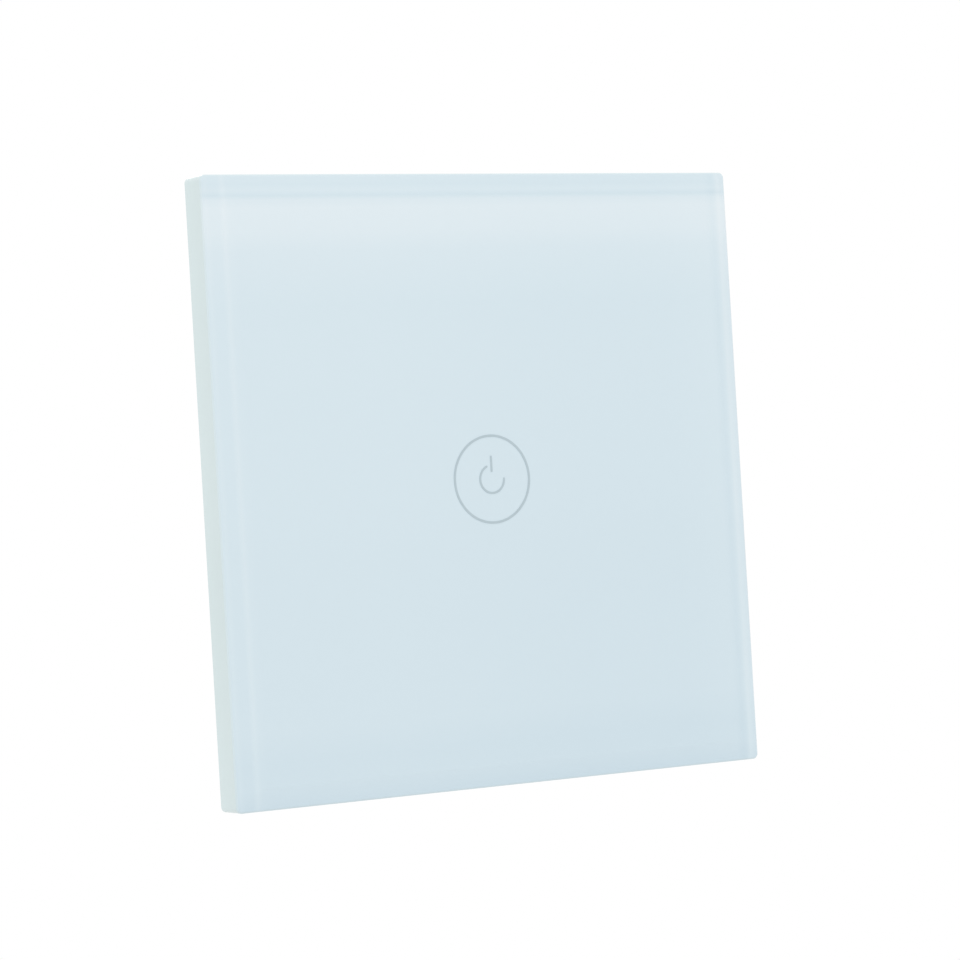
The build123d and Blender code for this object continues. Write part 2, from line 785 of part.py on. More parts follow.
# Clamp screws and rising cages, one of each for every way
clamp_seat = pocket_rear - clamp_ledge - clamp_seat_gap
for number, x in enumerate(way_places, start=1):
    with BuildPart() as terminal_screw:
        with BuildSketch(layer(clamp_seat - clamp_head_high)):
            with Locations((x, clamp_z)):
                Circle(clamp_head_radius)
        extrude(amount=clamp_head_high)
        chamfer(terminal_screw.edges().filter_by(GeomType.CIRCLE).sort_by(Axis.Y)[-1], length=chip_bevel)
        with BuildSketch(layer(clamp_seat)):
            with Locations((x, clamp_z)):
                Circle(clamp_shank_radius)
        extrude(amount=bar_rear - bar_gap / 2 - clamp_seat)
        with BuildSketch(layer(clamp_seat - clamp_head_high)):
            with Locations((x, clamp_z)):
                Rectangle(2 * clamp_head_radius + overrun, recess_width)
        extrude(amount=recess_deep, mode=Mode.SUBTRACT)
    terminal_screw.part.label = f"terminal_screw_{number}"
    export_step(terminal_screw.part, f"parts/terminal_screw_{number}.step")

    with BuildPart() as terminal_cage:
        with BuildSketch(layer(cage_rear)):
            with Locations((x, clamp_z)):
                Rectangle(cage_width, cage_length)
        extrude(amount=cage_tall)
        with BuildSketch(layer(cage_rear + cage_wall)):
            with Locations((x, clamp_z)):
                Rectangle(cage_width - 2 * cage_wall, cage_length + overrun)
        extrude(amount=cage_inside, mode=Mode.SUBTRACT)
        with BuildSketch(layer(cage_rear)):
            with Locations((x, clamp_z)):
                Circle(clamp_shank_radius + thread_room)
        extrude(amount=cage_wall, mode=Mode.SUBTRACT)
    terminal_cage.part.label = f"terminal_cage_{number}"
    export_step(terminal_cage.part, f"parts/terminal_cage_{number}.step")

# Relay: cover and base
with BuildPart() as relay_cover:
    with BuildSketch(layer(board_front)):
        with Locations((left_column, relay_z)):
            RectangleRounded(relay_width, relay_high, relay_corner)
    extrude(amount=relay_tall)
    chamfer(relay_cover.faces().sort_by(Axis.Y)[0].edges(), length=relay_corner / 2)
    with BuildSketch(layer(board_front)):
        with Locations((left_column, relay_z)):
            Rectangle(relay_width - 2 * relay_shell, relay_high - 2 * relay_shell)
    extrude(amount=relay_tall - relay_shell, mode=Mode.SUBTRACT)
relay_cover.part.label = "relay_cover"
export_step(relay_cover.part, "parts/relay_cover.step")

base_width = relay_width - 2 * (relay_shell + relay_room)
base_high = relay_high - 2 * (relay_shell + relay_room)
with BuildPart() as relay_base:
    with BuildSketch(layer(board_front)):
        with Locations((left_column, relay_z)):
            Rectangle(base_width, base_high)
    extrude(amount=relay_base_thick)
relay_base.part.label = "relay_base"
export_step(relay_base.part, "parts/relay_base.step")

# Relay magnet: yoke, bobbin, winding and core
base_top = board_front + relay_base_thick
foot_top_level = base_top + iron_thick
pole_foot = foot_top_level + coil_length
pole_top = pole_foot + pole_high
iron_back = pole_top + iron_gap
yoke_left = left_column - base_width / 2 + relay_room
coil_x = yoke_left + iron_thick + coil_shift / 2 + coil_radius
hinge_x = yoke_left + iron_thick / 2
hinge_level = iron_back - hinge_gap
print(f"relay hinge: x {hinge_x:.4f}, y {-hinge_level:.4f}, z {relay_z:.4f}")
with BuildPart() as relay_yoke:
    with BuildSketch(layer(base_top)):
        with Locations(((yoke_left + coil_x + core_radius) / 2, relay_z)):
            Rectangle(coil_x + core_radius - yoke_left, iron_width)
    extrude(amount=iron_thick)
    with BuildSketch(layer(base_top)):
        with Locations((hinge_x, relay_z)):
            Rectangle(iron_thick, iron_width)
    extrude(amount=hinge_level - base_top)
relay_yoke.part.label = "relay_yoke"
export_step(relay_yoke.part, "parts/relay_yoke.step")

with BuildPart() as relay_bobbin:
    with BuildSketch(layer(foot_top_level)):
        with Locations((coil_x, relay_z)):
            Circle(coil_radius)
            Circle(core_radius + relay_room, mode=Mode.SUBTRACT)
    extrude(amount=coil_length)
    with BuildSketch(layer(foot_top_level + bobbin_flange)):
        with Locations((coil_x, relay_z)):
            Circle(coil_radius + overrun)
            Circle(core_radius + relay_room + bobbin_flange, mode=Mode.SUBTRACT)
    extrude(amount=coil_length - 2 * bobbin_flange, mode=Mode.SUBTRACT)
relay_bobbin.part.label = "relay_bobbin"
export_step(relay_bobbin.part, "parts/relay_bobbin.step")

with BuildPart() as relay_winding:
    with BuildSketch(layer(foot_top_level + bobbin_flange + choke_room)):
        with Locations((coil_x, relay_z)):
            Circle(coil_radius - bobbin_flange)
            Circle(core_radius + relay_room + bobbin_flange + choke_room, mode=Mode.SUBTRACT)
    extrude(amount=coil_length - 2 * (bobbin_flange + choke_room))
relay_winding.part.label = "relay_winding"
export_step(relay_winding.part, "parts/relay_winding.step")

with BuildPart() as relay_core:
    with BuildSketch(layer(foot_top_level)):
        with Locations((coil_x, relay_z)):
            Circle(core_radius)
    extrude(amount=coil_length)
    with BuildSketch(layer(pole_foot)):
        with Locations((coil_x, relay_z)):
            Circle(pole_radius)
    extrude(amount=pole_high)
relay_core.part.label = "relay_core"
export_step(relay_core.part, "parts/relay_core.step")

# Relay armature with the moving contact on a leaf, and the fixed contact on its post
contact_x = left_column + contact_place
moving_level = iron_back - contact_high + iron_thick
with BuildPart() as relay_armature:
    with BuildSketch(layer(iron_back)):
        with Locations(((yoke_left + coil_x + pole_radius) / 2, relay_z)):
            Rectangle(coil_x + pole_radius - yoke_left, iron_width)
    extrude(amount=iron_thick)
relay_armature.part.label = "relay_armature"
export_step(relay_armature.part, "parts/relay_armature.step")

with BuildPart() as relay_leaf:
    with BuildSketch(layer(iron_back + iron_thick)):
        with Locations(((coil_x + contact_x + contact_radius) / 2, relay_z)):
            Rectangle(contact_x + contact_radius - coil_x, 2 * contact_radius)
    extrude(amount=contact_leaf)
    with BuildSketch(layer(moving_level)):
        with Locations((contact_x, relay_z)):
            Circle(contact_radius)
    extrude(amount=contact_high)
relay_leaf.part.label = "relay_leaf"
export_step(relay_leaf.part, "parts/relay_leaf.step")

fixed_top = moving_level - contact_gap
with BuildPart() as relay_contact:
    with BuildSketch(layer(fixed_top - contact_high)):
        with Locations((contact_x, relay_z)):
            Circle(contact_radius)
    extrude(amount=contact_high)
    with BuildSketch(layer(base_top)):
        with Locations((contact_x, relay_z)):
            Rectangle(iron_thick, 2 * contact_radius)
    extrude(amount=fixed_top - contact_high - base_top)
relay_contact.part.label = "relay_contact"
export_step(relay_contact.part, "parts/relay_contact.step")

# Left column below the relay: film capacitor and fuse resistor
with BuildPart() as film_capacitor:
    with BuildSketch(layer(board_front)):
        with Locations((left_column, film_z)):
            Rectangle(film_width, film_high)
    extrude(amount=film_tall)
    fillet(film_capacitor.edges().filter_by(Axis.Y), radius=film_edge)
    chamfer(film_capacitor.faces().sort_by(Axis.Y)[0].edges(), length=film_edge / 2)
film_capacitor.part.label = "film_capacitor"
export_step(film_capacitor.part, "parts/film_capacitor.step")

fuse_level = board_front + fuse_lift + fuse_radius
with BuildPart() as fuse_resistor:
    with BuildSketch(Plane.YZ.offset(left_column - fuse_length / 2)):
        with Locations((-fuse_level, fuse_z)):
            Circle(fuse_radius)
    extrude(amount=fuse_length)
    fillet(fuse_resistor.edges(), radius=fuse_edge)
    with BuildSketch(Plane.YZ.offset(left_column - fuse_length / 2 - 3 * lead_radius)):
        with Locations((-fuse_level, fuse_z)):
            Circle(lead_radius)
    extrude(amount=fuse_length + 6 * lead_radius)
    with BuildSketch(layer(board_front)):
        with Locations((left_column, fuse_z)):
            with GridLocations(fuse_length + 4 * lead_radius, 0, 2, 1):
                Circle(lead_radius)
    extrude(amount=fuse_level - board_front)
fuse_resistor.part.label = "fuse_resistor"
export_step(fuse_resistor.part, "parts/fuse_resistor.step")

# Right column: storage capacitor, choke, varistor, smoothing capacitor and bridge rectifier
cans = {
    "storage_capacitor": (big_can_radius, big_can_tall, big_can_z),
    "smoothing_capacitor": (small_can_radius, small_can_tall, small_can_z),
}
for can_name, (radius, tall, z) in cans.items():
    groove = board_front + can_groove_at
    with BuildPart() as can:
        with BuildSketch(Plane.XY.offset(z)):
            with BuildLine():
                Polyline(
                    (right_column, -board_front),
                    (right_column + radius, -board_front),
                    (right_column + radius, -groove),
                    (right_column + radius - can_groove, -(groove + can_groove_high / 2)),
                    (right_column + radius, -(groove + can_groove_high)),
                    (right_column + radius, -(board_front + tall - can_edge)),
                    (right_column + radius - can_edge, -(board_front + tall)),
                    (right_column, -(board_front + tall)),
                    close=True,
                )
            make_face()
        revolve(axis=Axis((right_column, 0, z), (0, 1, 0)))
    can.part.label = can_name
    export_step(can.part, f"parts/{can_name}.step")

with BuildPart() as choke_core:
    with BuildSketch(layer(board_front)):
        with Locations((right_column, choke_z)):
            Circle(choke_radius)
    extrude(amount=choke_tall)
    with BuildSketch(layer(board_front + choke_flange)):
        with Locations((right_column, choke_z)):
            Circle(choke_radius + overrun)
            Circle(choke_core_radius, mode=Mode.SUBTRACT)
    extrude(amount=choke_tall - 2 * choke_flange, mode=Mode.SUBTRACT)
choke_core.part.label = "choke_core"
export_step(choke_core.part, "parts/choke_core.step")

with BuildPart() as choke_winding:
    with BuildSketch(layer(board_front + choke_flange + choke_room)):
        with Locations((right_column, choke_z)):
            Circle(choke_radius - winding_inset)
            Circle(choke_core_radius + choke_room, mode=Mode.SUBTRACT)
    extrude(amount=choke_tall - 2 * (choke_flange + choke_room))
choke_winding.part.label = "choke_winding"
export_step(choke_winding.part, "parts/choke_winding.step")

with BuildPart() as varistor:
    with BuildSketch(Plane.XY.offset(varistor_z - varistor_thick / 2)):
        with Locations((right_column, -(board_front + varistor_lift + varistor_radius))):
            Circle(varistor_radius)
    extrude(amount=varistor_thick)
    fillet(varistor.edges(), radius=varistor_lift)
    with BuildSketch(layer(board_front)):
        with Locations((right_column, varistor_z)):
            with GridLocations(lead_spread, 0, 2, 1):
                Circle(lead_radius)
    extrude(amount=varistor_lift + varistor_radius)
varistor.part.label = "varistor"
export_step(varistor.part, "parts/varistor.step")

with BuildPart() as bridge_rectifier:
    with BuildSketch(layer(board_front)):
        with Locations((right_column, bridge_z)):
            Rectangle(bridge_width, bridge_high)
    extrude(amount=bridge_tall)
    chamfer(bridge_rectifier.faces().sort_by(Axis.Y)[0].edges(), length=chip_bevel)
bridge_rectifier.part.label = "bridge_rectifier"
export_step(bridge_rectifier.part, "parts/bridge_rectifier.step")

# Supply chip, at the foot of the left column
with BuildPart() as supply_chip:
    with BuildSketch(layer(board_front)):
        with Locations((left_column, driver_z)):
            Rectangle(driver_width, driver_high)
    extrude(amount=driver_thick)
    chamfer(supply_chip.faces().sort_by(Axis.Y)[0].edges(), length=chip_bevel)
supply_chip.part.label = "supply_chip"
export_step(supply_chip.part, "parts/supply_chip.step")
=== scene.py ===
"""Looks of a one-gang touch light switch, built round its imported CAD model.

The frame gives every solid at its real size and place. This script dresses each one with a
procedural finish, adds the small moulded and soldered detail that the solids leave out, and
sets up a pale studio with a camera at the photograph's viewing angle.
"""

import json
import logging
import math
from dataclasses import dataclass
from enum import Enum

import bmesh
import bpy
from mathutils import Matrix, Vector


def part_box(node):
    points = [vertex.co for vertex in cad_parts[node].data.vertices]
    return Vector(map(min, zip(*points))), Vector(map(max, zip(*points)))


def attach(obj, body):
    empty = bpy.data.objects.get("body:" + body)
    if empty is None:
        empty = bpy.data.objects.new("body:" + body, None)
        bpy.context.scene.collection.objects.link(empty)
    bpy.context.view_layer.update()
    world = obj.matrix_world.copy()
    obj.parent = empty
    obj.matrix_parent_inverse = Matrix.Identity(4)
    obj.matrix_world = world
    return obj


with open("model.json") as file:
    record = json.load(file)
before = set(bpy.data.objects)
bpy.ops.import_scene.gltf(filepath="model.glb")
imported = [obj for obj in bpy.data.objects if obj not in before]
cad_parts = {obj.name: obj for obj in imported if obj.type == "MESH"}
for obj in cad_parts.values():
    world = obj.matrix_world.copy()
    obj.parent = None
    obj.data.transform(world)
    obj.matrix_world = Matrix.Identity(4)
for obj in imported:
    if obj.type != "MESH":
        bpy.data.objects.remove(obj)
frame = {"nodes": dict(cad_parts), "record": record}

LOG = logging.getLogger("switch")
MM = 0.001
SHARP = math.radians(50)
UPRIGHT = (math.radians(90), 0.0, 0.0)

# A Mix node has sockets for each kind of value. These are the factor and the two colours, by number.
MIX_INPUTS = (0, 6, 7)
MIX_OUTPUT = 2

Color = tuple[float, float, float]
Point = tuple[float, float, float]
Rings = tuple[tuple[float, ...], ...]
Socket = bpy.types.NodeSocket
Node = bpy.types.Node
Material = bpy.types.Material


def srgb(red: float, green: float, blue: float) -> Color:
    """Turns a screen colour from 0 to 255 into a linear one.

    Args:
        red: Red as a screen shows it.
        green: Green as a screen shows it.
        blue: Blue as a screen shows it.

    Returns:
        The linear colour that the shaders use.
    """
    def linear(value: float) -> float:
        """Returns one channel in linear light."""
        share = value / 255
        return share / 12.92 if share <= 0.04045 else ((share + 0.055) / 1.055) ** 2.4

    return linear(red), linear(green), linear(blue)


def clear_tree(holder: Material | bpy.types.World) -> "NodeBuilder":
    """Empties the node tree of a material or a world.

    Args:
        holder: The material or the world.

    Returns:
        A builder on its tree.
    """
    holder.use_nodes = True
    holder.node_tree.nodes.clear()
    return NodeBuilder(holder.node_tree)


def show(name: str, data: bpy.types.ID) -> bpy.types.Object:
    """Makes an object and puts it in the scene.

    Args:
        name: The object's name.
        data: Its mesh, light or camera.

    Returns:
        The object.
    """
    made = bpy.data.objects.new(name, data)
    bpy.context.scene.collection.objects.link(made)
    return made


class Body(Enum):
    """The bodies that added pieces ride on."""

    BASE = "base"
    PANEL = "front_panel"
    ARM = "relay_arm"


class NodeBuilder:
    """Adds linked nodes to one node tree with short calls."""

    def __init__(self, tree: bpy.types.NodeTree) -> None:
        """Starts on a tree.

        Args:
            tree: The material's or the group's node tree.
        """
        self.tree = tree

    def add(self, kind: str, inputs: dict[str | int, object] | None = None,
            **settings: object) -> Node:
        """Adds a node, sets what is named on it and fills its inputs.

        Args:
            kind: The node's type name in Blender.
            inputs: Sockets, numbers or colours for its inputs, by the input's name or number.
            **settings: Attributes of the node.

        Returns:
            The new node.
        """
        node = self.tree.nodes.new(kind)
        for name, value in settings.items():
            setattr(node, name, value)
        for name, value in (inputs or {}).items():
            self.plug(value, node.inputs[name])
        return node

    def plug(self, source: object, target: Socket) -> None:
        """Links a socket to another, or sets a plain value on it.

        Args:
            source: An output socket, a number or a colour.
            target: The input socket.
        """
        if isinstance(source, Socket):
            self.tree.links.new(source, target)
        elif isinstance(source, tuple) and len(source) == 3 and target.type == "RGBA":
            target.default_value = (*source, 1.0)
        else:
            target.default_value = source

    def math(self, operation: str, *values: object, clamp: bool = False) -> Socket:
        """Adds a Math node.

        Args:
            operation: Blender's name for the operation.
            *values: Its inputs, sockets or numbers.
            clamp: Whether the result stays between 0 and 1.

        Returns:
            The result's socket.
        """
        node = self.add("ShaderNodeMath", dict(enumerate(values)), operation=operation, use_clamp=clamp)
        return node.outputs[0]

    def ramp(self, value: object, low: float, high: float) -> Socket:
        """Maps a value smoothly from 0 at low to 1 at high.

        Args:
            value: The socket to map.
            low: Where the result is 0.
            high: Where the result is 1.

        Returns:
            The mapped socket, from 0 to 1.
        """
        node = self.add("ShaderNodeMapRange", {"Value": value, "From Min": low, "From Max": high},
                        interpolation_type="SMOOTHSTEP")
        return node.outputs["Result"]

    def mix(self, factor: object, first: object, second: object, blend: str = "MIX") -> Socket:
        """Mixes two colours.

        Args:
            factor: The share of the second colour.
            first: The first colour or socket.
            second: The second colour or socket.
            blend: Blender's name for the blend type.

        Returns:
            The mixed colour's socket.
        """
        values = dict(zip(MIX_INPUTS, (factor, first, second)))
        node = self.add("ShaderNodeMix", values, data_type="RGBA", blend_type=blend)
        return node.outputs[MIX_OUTPUT]

    def noise(self, place: Socket, scale: object, detail: float = 3.0, roughness: float = 0.55) -> Socket:
        """Adds a noise texture.

        Args:
            place: The socket that gives the place.
            scale: How many features there are to a metre.
            detail: How many finer layers are added.
            roughness: How strong the finer layers are.

        Returns:
            The noise's value, round 0.5.
        """
        node = self.add("ShaderNodeTexNoise",
                        {"Vector": place, "Scale": scale, "Detail": detail, "Roughness": roughness})
        return node.outputs["Fac"]

    def around(self, share: object, width: object) -> Socket:
        """Centres a share on zero and sets how far it swings.

        Args:
            share: A socket from 0 to 1.
            width: The whole swing.

        Returns:
            The swing's socket.
        """
        return self.math("MULTIPLY", self.math("SUBTRACT", share, 0.5), width)

    def scaled(self, color: object, gain: object) -> Socket:
        """Makes a colour lighter or darker.

        Args:
            color: The colour or its socket.
            gain: What it is multiplied by.

        Returns:
            The new colour's socket.
        """
        return self.add("ShaderNodeVectorMath", {0: color, "Scale": gain}, operation="SCALE").outputs[0]

    def place(self) -> Socket:
        """Returns the surface's place in the object's own space, in metres."""
        return self.add("ShaderNodeTexCoord").outputs["Object"]

    def mapped(self, place: Socket, scale: Point = (1.0, 1.0, 1.0), turn: Point = (0.0, 0.0, 0.0)) -> Socket:
        """Stretches and turns a place.

        Args:
            place: The place's socket.
            scale: How it is stretched along each axis.
            turn: How it is turned about each axis, in radians.

        Returns:
            The new place's socket.
        """
        values = {"Vector": place, "Rotation": turn, "Scale": scale}
        return self.add("ShaderNodeMapping", values).outputs[0]

    def facing(self, low: float, high: float) -> Socket:
        """Tells the faces that look to the front or the rear from the edges.

        Args:
            low: The normal's share along the depth where the result is 0.
            high: Where the result is 1.

        Returns:
            The mask's socket.
        """
        normal = self.axes(self.add("ShaderNodeTexCoord").outputs["Normal"])
        return self.ramp(self.math("ABSOLUTE", normal[1]), low, high)

    def axes(self, place: Socket) -> tuple[Socket, ...]:
        """Splits a place into its three coordinates.

        Args:
            place: The place's socket.

        Returns:
            The X, Y and Z sockets.
        """
        return tuple(self.add("ShaderNodeSeparateXYZ", {0: place}).outputs)


class Effect:
    """A shader node group with named inputs and outputs, built once."""

    name: str
    inputs: dict[str, object]
    outputs: tuple[str, ...]

    def __init__(self) -> None:
        """Makes the group's tree and its sockets."""
        self.tree = bpy.data.node_groups.new(self.name, "ShaderNodeTree")
        for name, value in self.inputs.items():
            self.socket(name, "INPUT").default_value = value
        for name in self.outputs:
            self.socket(name, "OUTPUT")
        self.build = NodeBuilder(self.tree)
        self.given = self.build.add("NodeGroupInput").outputs
        self.out = self.build.add("NodeGroupOutput").inputs
        self.wire()

    def socket(self, name: str, way: str) -> bpy.types.NodeTreeInterfaceSocket:
        """Adds a socket to the group: a colour where it is named Color, and otherwise a number.

        Args:
            name: The socket's name.
            way: INPUT or OUTPUT.

        Returns:
            The new socket.
        """
        kind = "NodeSocketColor" if name == "Color" else "NodeSocketFloat"
        return self.tree.interface.new_socket(name, in_out=way, socket_type=kind)

    def wire(self) -> None:
        """Fills the group. Each effect has its own."""
        raise NotImplementedError

    def use(self, build: NodeBuilder, values: dict[str, object]) -> tuple[Socket, ...]:
        """Places the group in a material.

        Args:
            build: The material's node builder.
            values: Values or sockets for the group's inputs, by name.

        Returns:
            The group's output sockets in that material.
        """
        return tuple(build.add("ShaderNodeGroup", values, node_tree=self.tree).outputs)


class MouldedGrain(Effect):
    """The fine sparked grain and soft mottling of a moulded plastic."""

    name = "moulded_grain"
    inputs = {"Color": (0.8, 0.8, 0.8, 1.0), "Grain Scale": 9000.0, "Mottle": 0.04, "Roughness": 0.45,
              "Gloss Drift": 0.08}
    outputs = ("Color", "Roughness", "Height")
    cloud_scale = 55.0
    fleck_scale = 700.0
    fleck_height = 0.6

    def wire(self) -> None:
        """Joins grain, mottling and drifting gloss."""
        build, given, out = self.build, self.given, self.out
        place = build.place()
        grain = build.noise(place, given["Grain Scale"], detail=2.0)
        cloud = build.noise(place, self.cloud_scale, detail=4.0)
        fleck = build.noise(place, self.fleck_scale)
        shade = build.around(build.math("MULTIPLY_ADD", fleck, 0.5, build.math("MULTIPLY", cloud, 0.5)),
                             build.math("MULTIPLY", given["Mottle"], 2.0))
        build.plug(build.scaled(given["Color"], build.math("ADD", 1.0, shade)), out["Color"])
        drift = build.around(cloud, given["Gloss Drift"])
        build.plug(build.math("ADD", given["Roughness"], drift, clamp=True), out["Roughness"])
        build.plug(build.math("ADD", grain, build.math("MULTIPLY", fleck, self.fleck_height)), out["Height"])


class Handling(Effect):
    """Faint wipe marks and settled dust that change a surface's gloss a little."""

    name = "handling"
    inputs = {"Roughness": 0.1, "Wipe": 0.03, "Dust": 0.02}
    outputs = ("Roughness",)
    wipe_turn = (0.0, math.radians(24), 0.0)
    wipe_stretch = (9.0, 9.0, 70.0)
    wipe_scale = 2.2
    wipe_range = (0.42, 0.78)
    speck_scale = 2600.0
    speck_range = (0.70, 0.78)

    def wire(self) -> None:
        """Joins long wipe marks and small specks."""
        build, given = self.build, self.given
        wipe = build.noise(build.mapped(build.place(), self.wipe_stretch, self.wipe_turn), self.wipe_scale,
                           detail=4.0, roughness=0.6)
        marks = build.math("MULTIPLY", build.ramp(wipe, *self.wipe_range), given["Wipe"])
        specks = build.ramp(build.noise(build.place(), self.speck_scale, detail=1.0), *self.speck_range)
        dust = build.math("MULTIPLY", specks, given["Dust"])
        rough = build.math("ADD", given["Roughness"], build.math("ADD", marks, dust), clamp=True)
        build.plug(rough, self.out["Roughness"])


class BrushedLines(Effect):
    """Turned or drawn lines on a metal, across one direction."""

    name = "brushed_lines"
    inputs = {"Color": (0.6, 0.6, 0.6, 1.0), "Line Scale": 4000.0, "Contrast": 0.12, "Roughness": 0.3,
              "Tarnish": 0.1}
    outputs = ("Color", "Roughness", "Height")
    line_stretch = (0.08, 1.0, 0.08)
    cloud_scale = 420.0
    cloud_range = (0.45, 0.75)
    dulling = 0.8

    def wire(self) -> None:
        """Joins fine lines and cloudy tarnish."""
        build, given, out = self.build, self.given, self.out
        place = build.place()
        lines = build.noise(build.mapped(place, self.line_stretch), given["Line Scale"], detail=2.0)
        cloud = build.noise(place, self.cloud_scale, detail=4.0)
        dark = build.math("MULTIPLY", build.ramp(cloud, *self.cloud_range), given["Tarnish"])
        streak = build.around(lines, given["Contrast"])
        gain = build.math("SUBTRACT", build.math("ADD", 1.0, streak), dark)
        build.plug(build.scaled(given["Color"], gain), out["Color"])
        rough = build.math("ADD", given["Roughness"], build.math("MULTIPLY", dark, self.dulling), clamp=True)
        build.plug(rough, out["Roughness"])
        build.plug(lines, out["Height"])


EFFECTS: dict[type[Effect], Effect] = {}


@dataclass(frozen=True)
class Finish:
    """What every finish shares: the record's slot it stands for, its gloss, its relief and its wear.

    Strength, wipe and dust go from 0 to 1, and the relief's depth is in millimetres.
    """

    slot: str
    color: Color
    roughness: float = 0.4
    strength: float = 0.0
    relief: float = 0.0
    wipe: float = 0.0
    dust: float = 0.02

    def plain(self) -> dict[str, float]:
        """Returns the values that are the same all over the surface, by the shader's input."""
        return {}

    def surface(self, build: NodeBuilder) -> tuple[Socket | float, ...]:
        """Makes what changes over the surface. Each kind of finish has its own.

        Args:
            build: The material's node builder.

        Returns:
            The colour, the roughness and the relief's height.
        """
        raise NotImplementedError

    def material(self) -> Material:
        """Builds the finish, with wipe marks, dust and a relief where it has them.

        Returns:
            The new material.
        """
        material = bpy.data.materials.new(self.slot)
        material.diffuse_color = (*self.color, 1.0)
        build = clear_tree(material)
        color, rough, height = self.surface(build)
        if self.wipe:
            worn = {"Roughness": rough, "Wipe": self.wipe, "Dust": self.dust}
            rough = EFFECTS[Handling].use(build, worn)[0]
        inputs = {"Base Color": color, "Roughness": rough, **self.plain()}
        if self.strength:
            inputs["Normal"] = build.add("ShaderNodeBump", {
                "Strength": self.strength, "Distance": self.relief * MM, "Height": height,
            }).outputs[0]
        shader = build.add("ShaderNodeBsdfPrincipled", inputs)
        build.add("ShaderNodeOutputMaterial", {"Surface": shader.outputs[0]})
        return material


@dataclass(frozen=True)
class Moulded(Finish):
    """Moulded plastic with a sparked or a polished surface."""

    strength: float = 0.12
    relief: float = 0.03
    wipe: float = 0.05
    grain: float = 9000.0
    mottle: float = 0.05
    coat: float = 0.0
    coat_blur: float = 0.12

    def plain(self) -> dict[str, float]:
        """Returns the values of the clear coat."""
        return {"Coat Weight": self.coat, "Coat Roughness": self.coat_blur}

    def surface(self, build: NodeBuilder) -> tuple[Socket | float, ...]:
        """Places the moulded grain."""
        values = {"Color": self.color, "Grain Scale": self.grain, "Mottle": self.mottle,
                  "Roughness": self.roughness}
        return EFFECTS[MouldedGrain].use(build, values)


@dataclass(frozen=True)
class ClearPlastic(Moulded):
    """Clear moulded plastic that leads light, a little milky at its faces."""

    strength: float = 0.0
    wipe: float = 0.0
    grain: float = 3000.0
    mottle: float = 0.03
    clear: float = 0.8
    ior: float = 1.49

    def plain(self) -> dict[str, float]:
        """Returns how much light it lets through and how it bends it."""
        return {"Transmission Weight": self.clear, "IOR": self.ior}


@dataclass(frozen=True)
class Metal(Finish):
    """Bare or plated metal with turned lines and a little tarnish."""

    strength: float = 0.1
    relief: float = 0.01
    lines: float = 4000.0
    contrast: float = 0.14
    tarnish: float = 0.12

    def plain(self) -> dict[str, float]:
        """Returns the share of metal."""
        return {"Metallic": 1.0}

    def surface(self, build: NodeBuilder) -> tuple[Socket | float, ...]:
        """Places the brushed lines."""
        values = {"Color": self.color, "Line Scale": self.lines, "Contrast": self.contrast,
                  "Roughness": self.roughness, "Tarnish": self.tarnish}
        return EFFECTS[BrushedLines].use(build, values)


@dataclass(frozen=True)
class PaintedSideLightShade:
    """Painted light and shade on the pane's colour along one of its sides, from the edge inwards.

    The axis is 0 for a side that stands and 2 for one that lies, and the side is -1 for the left and
    the lower one. Each stop is a distance from the edge in millimetres and a share: above zero the
    face gets painted light, mixed towards white as where the ground rim throws light on the coat, and
    below zero it gets painted shade.
    """

    axis: int
    side: float
    stops: Rings

    def share(self, build: NodeBuilder, place: tuple[Socket, ...], half: float) -> Socket:
        """Gives the signed share of painted light and shade at each point.

        Args:
            build: The material's node builder.
            place: The X, Y and Z sockets.
            half: Half the pane's side.

        Returns:
            A socket from -1 to 1.
        """
        reach = self.stops[-1][0]
        along = build.math("MULTIPLY", place[self.axis], self.side)
        depth = build.math("DIVIDE", build.math("SUBTRACT", half, along), reach * MM, clamp=True)
        ramp = build.add("ShaderNodeValToRGB", {"Fac": depth})
        marks = ramp.color_ramp.elements
        while len(marks) < len(self.stops):
            marks.new(0.5)
        for mark, (distance, share) in zip(marks, self.stops):
            value = 0.5 + share / 2
            mark.position = distance / reach
            mark.color = (value, value, value, 1.0)
        return build.around(ramp.outputs["Color"], 2.0)


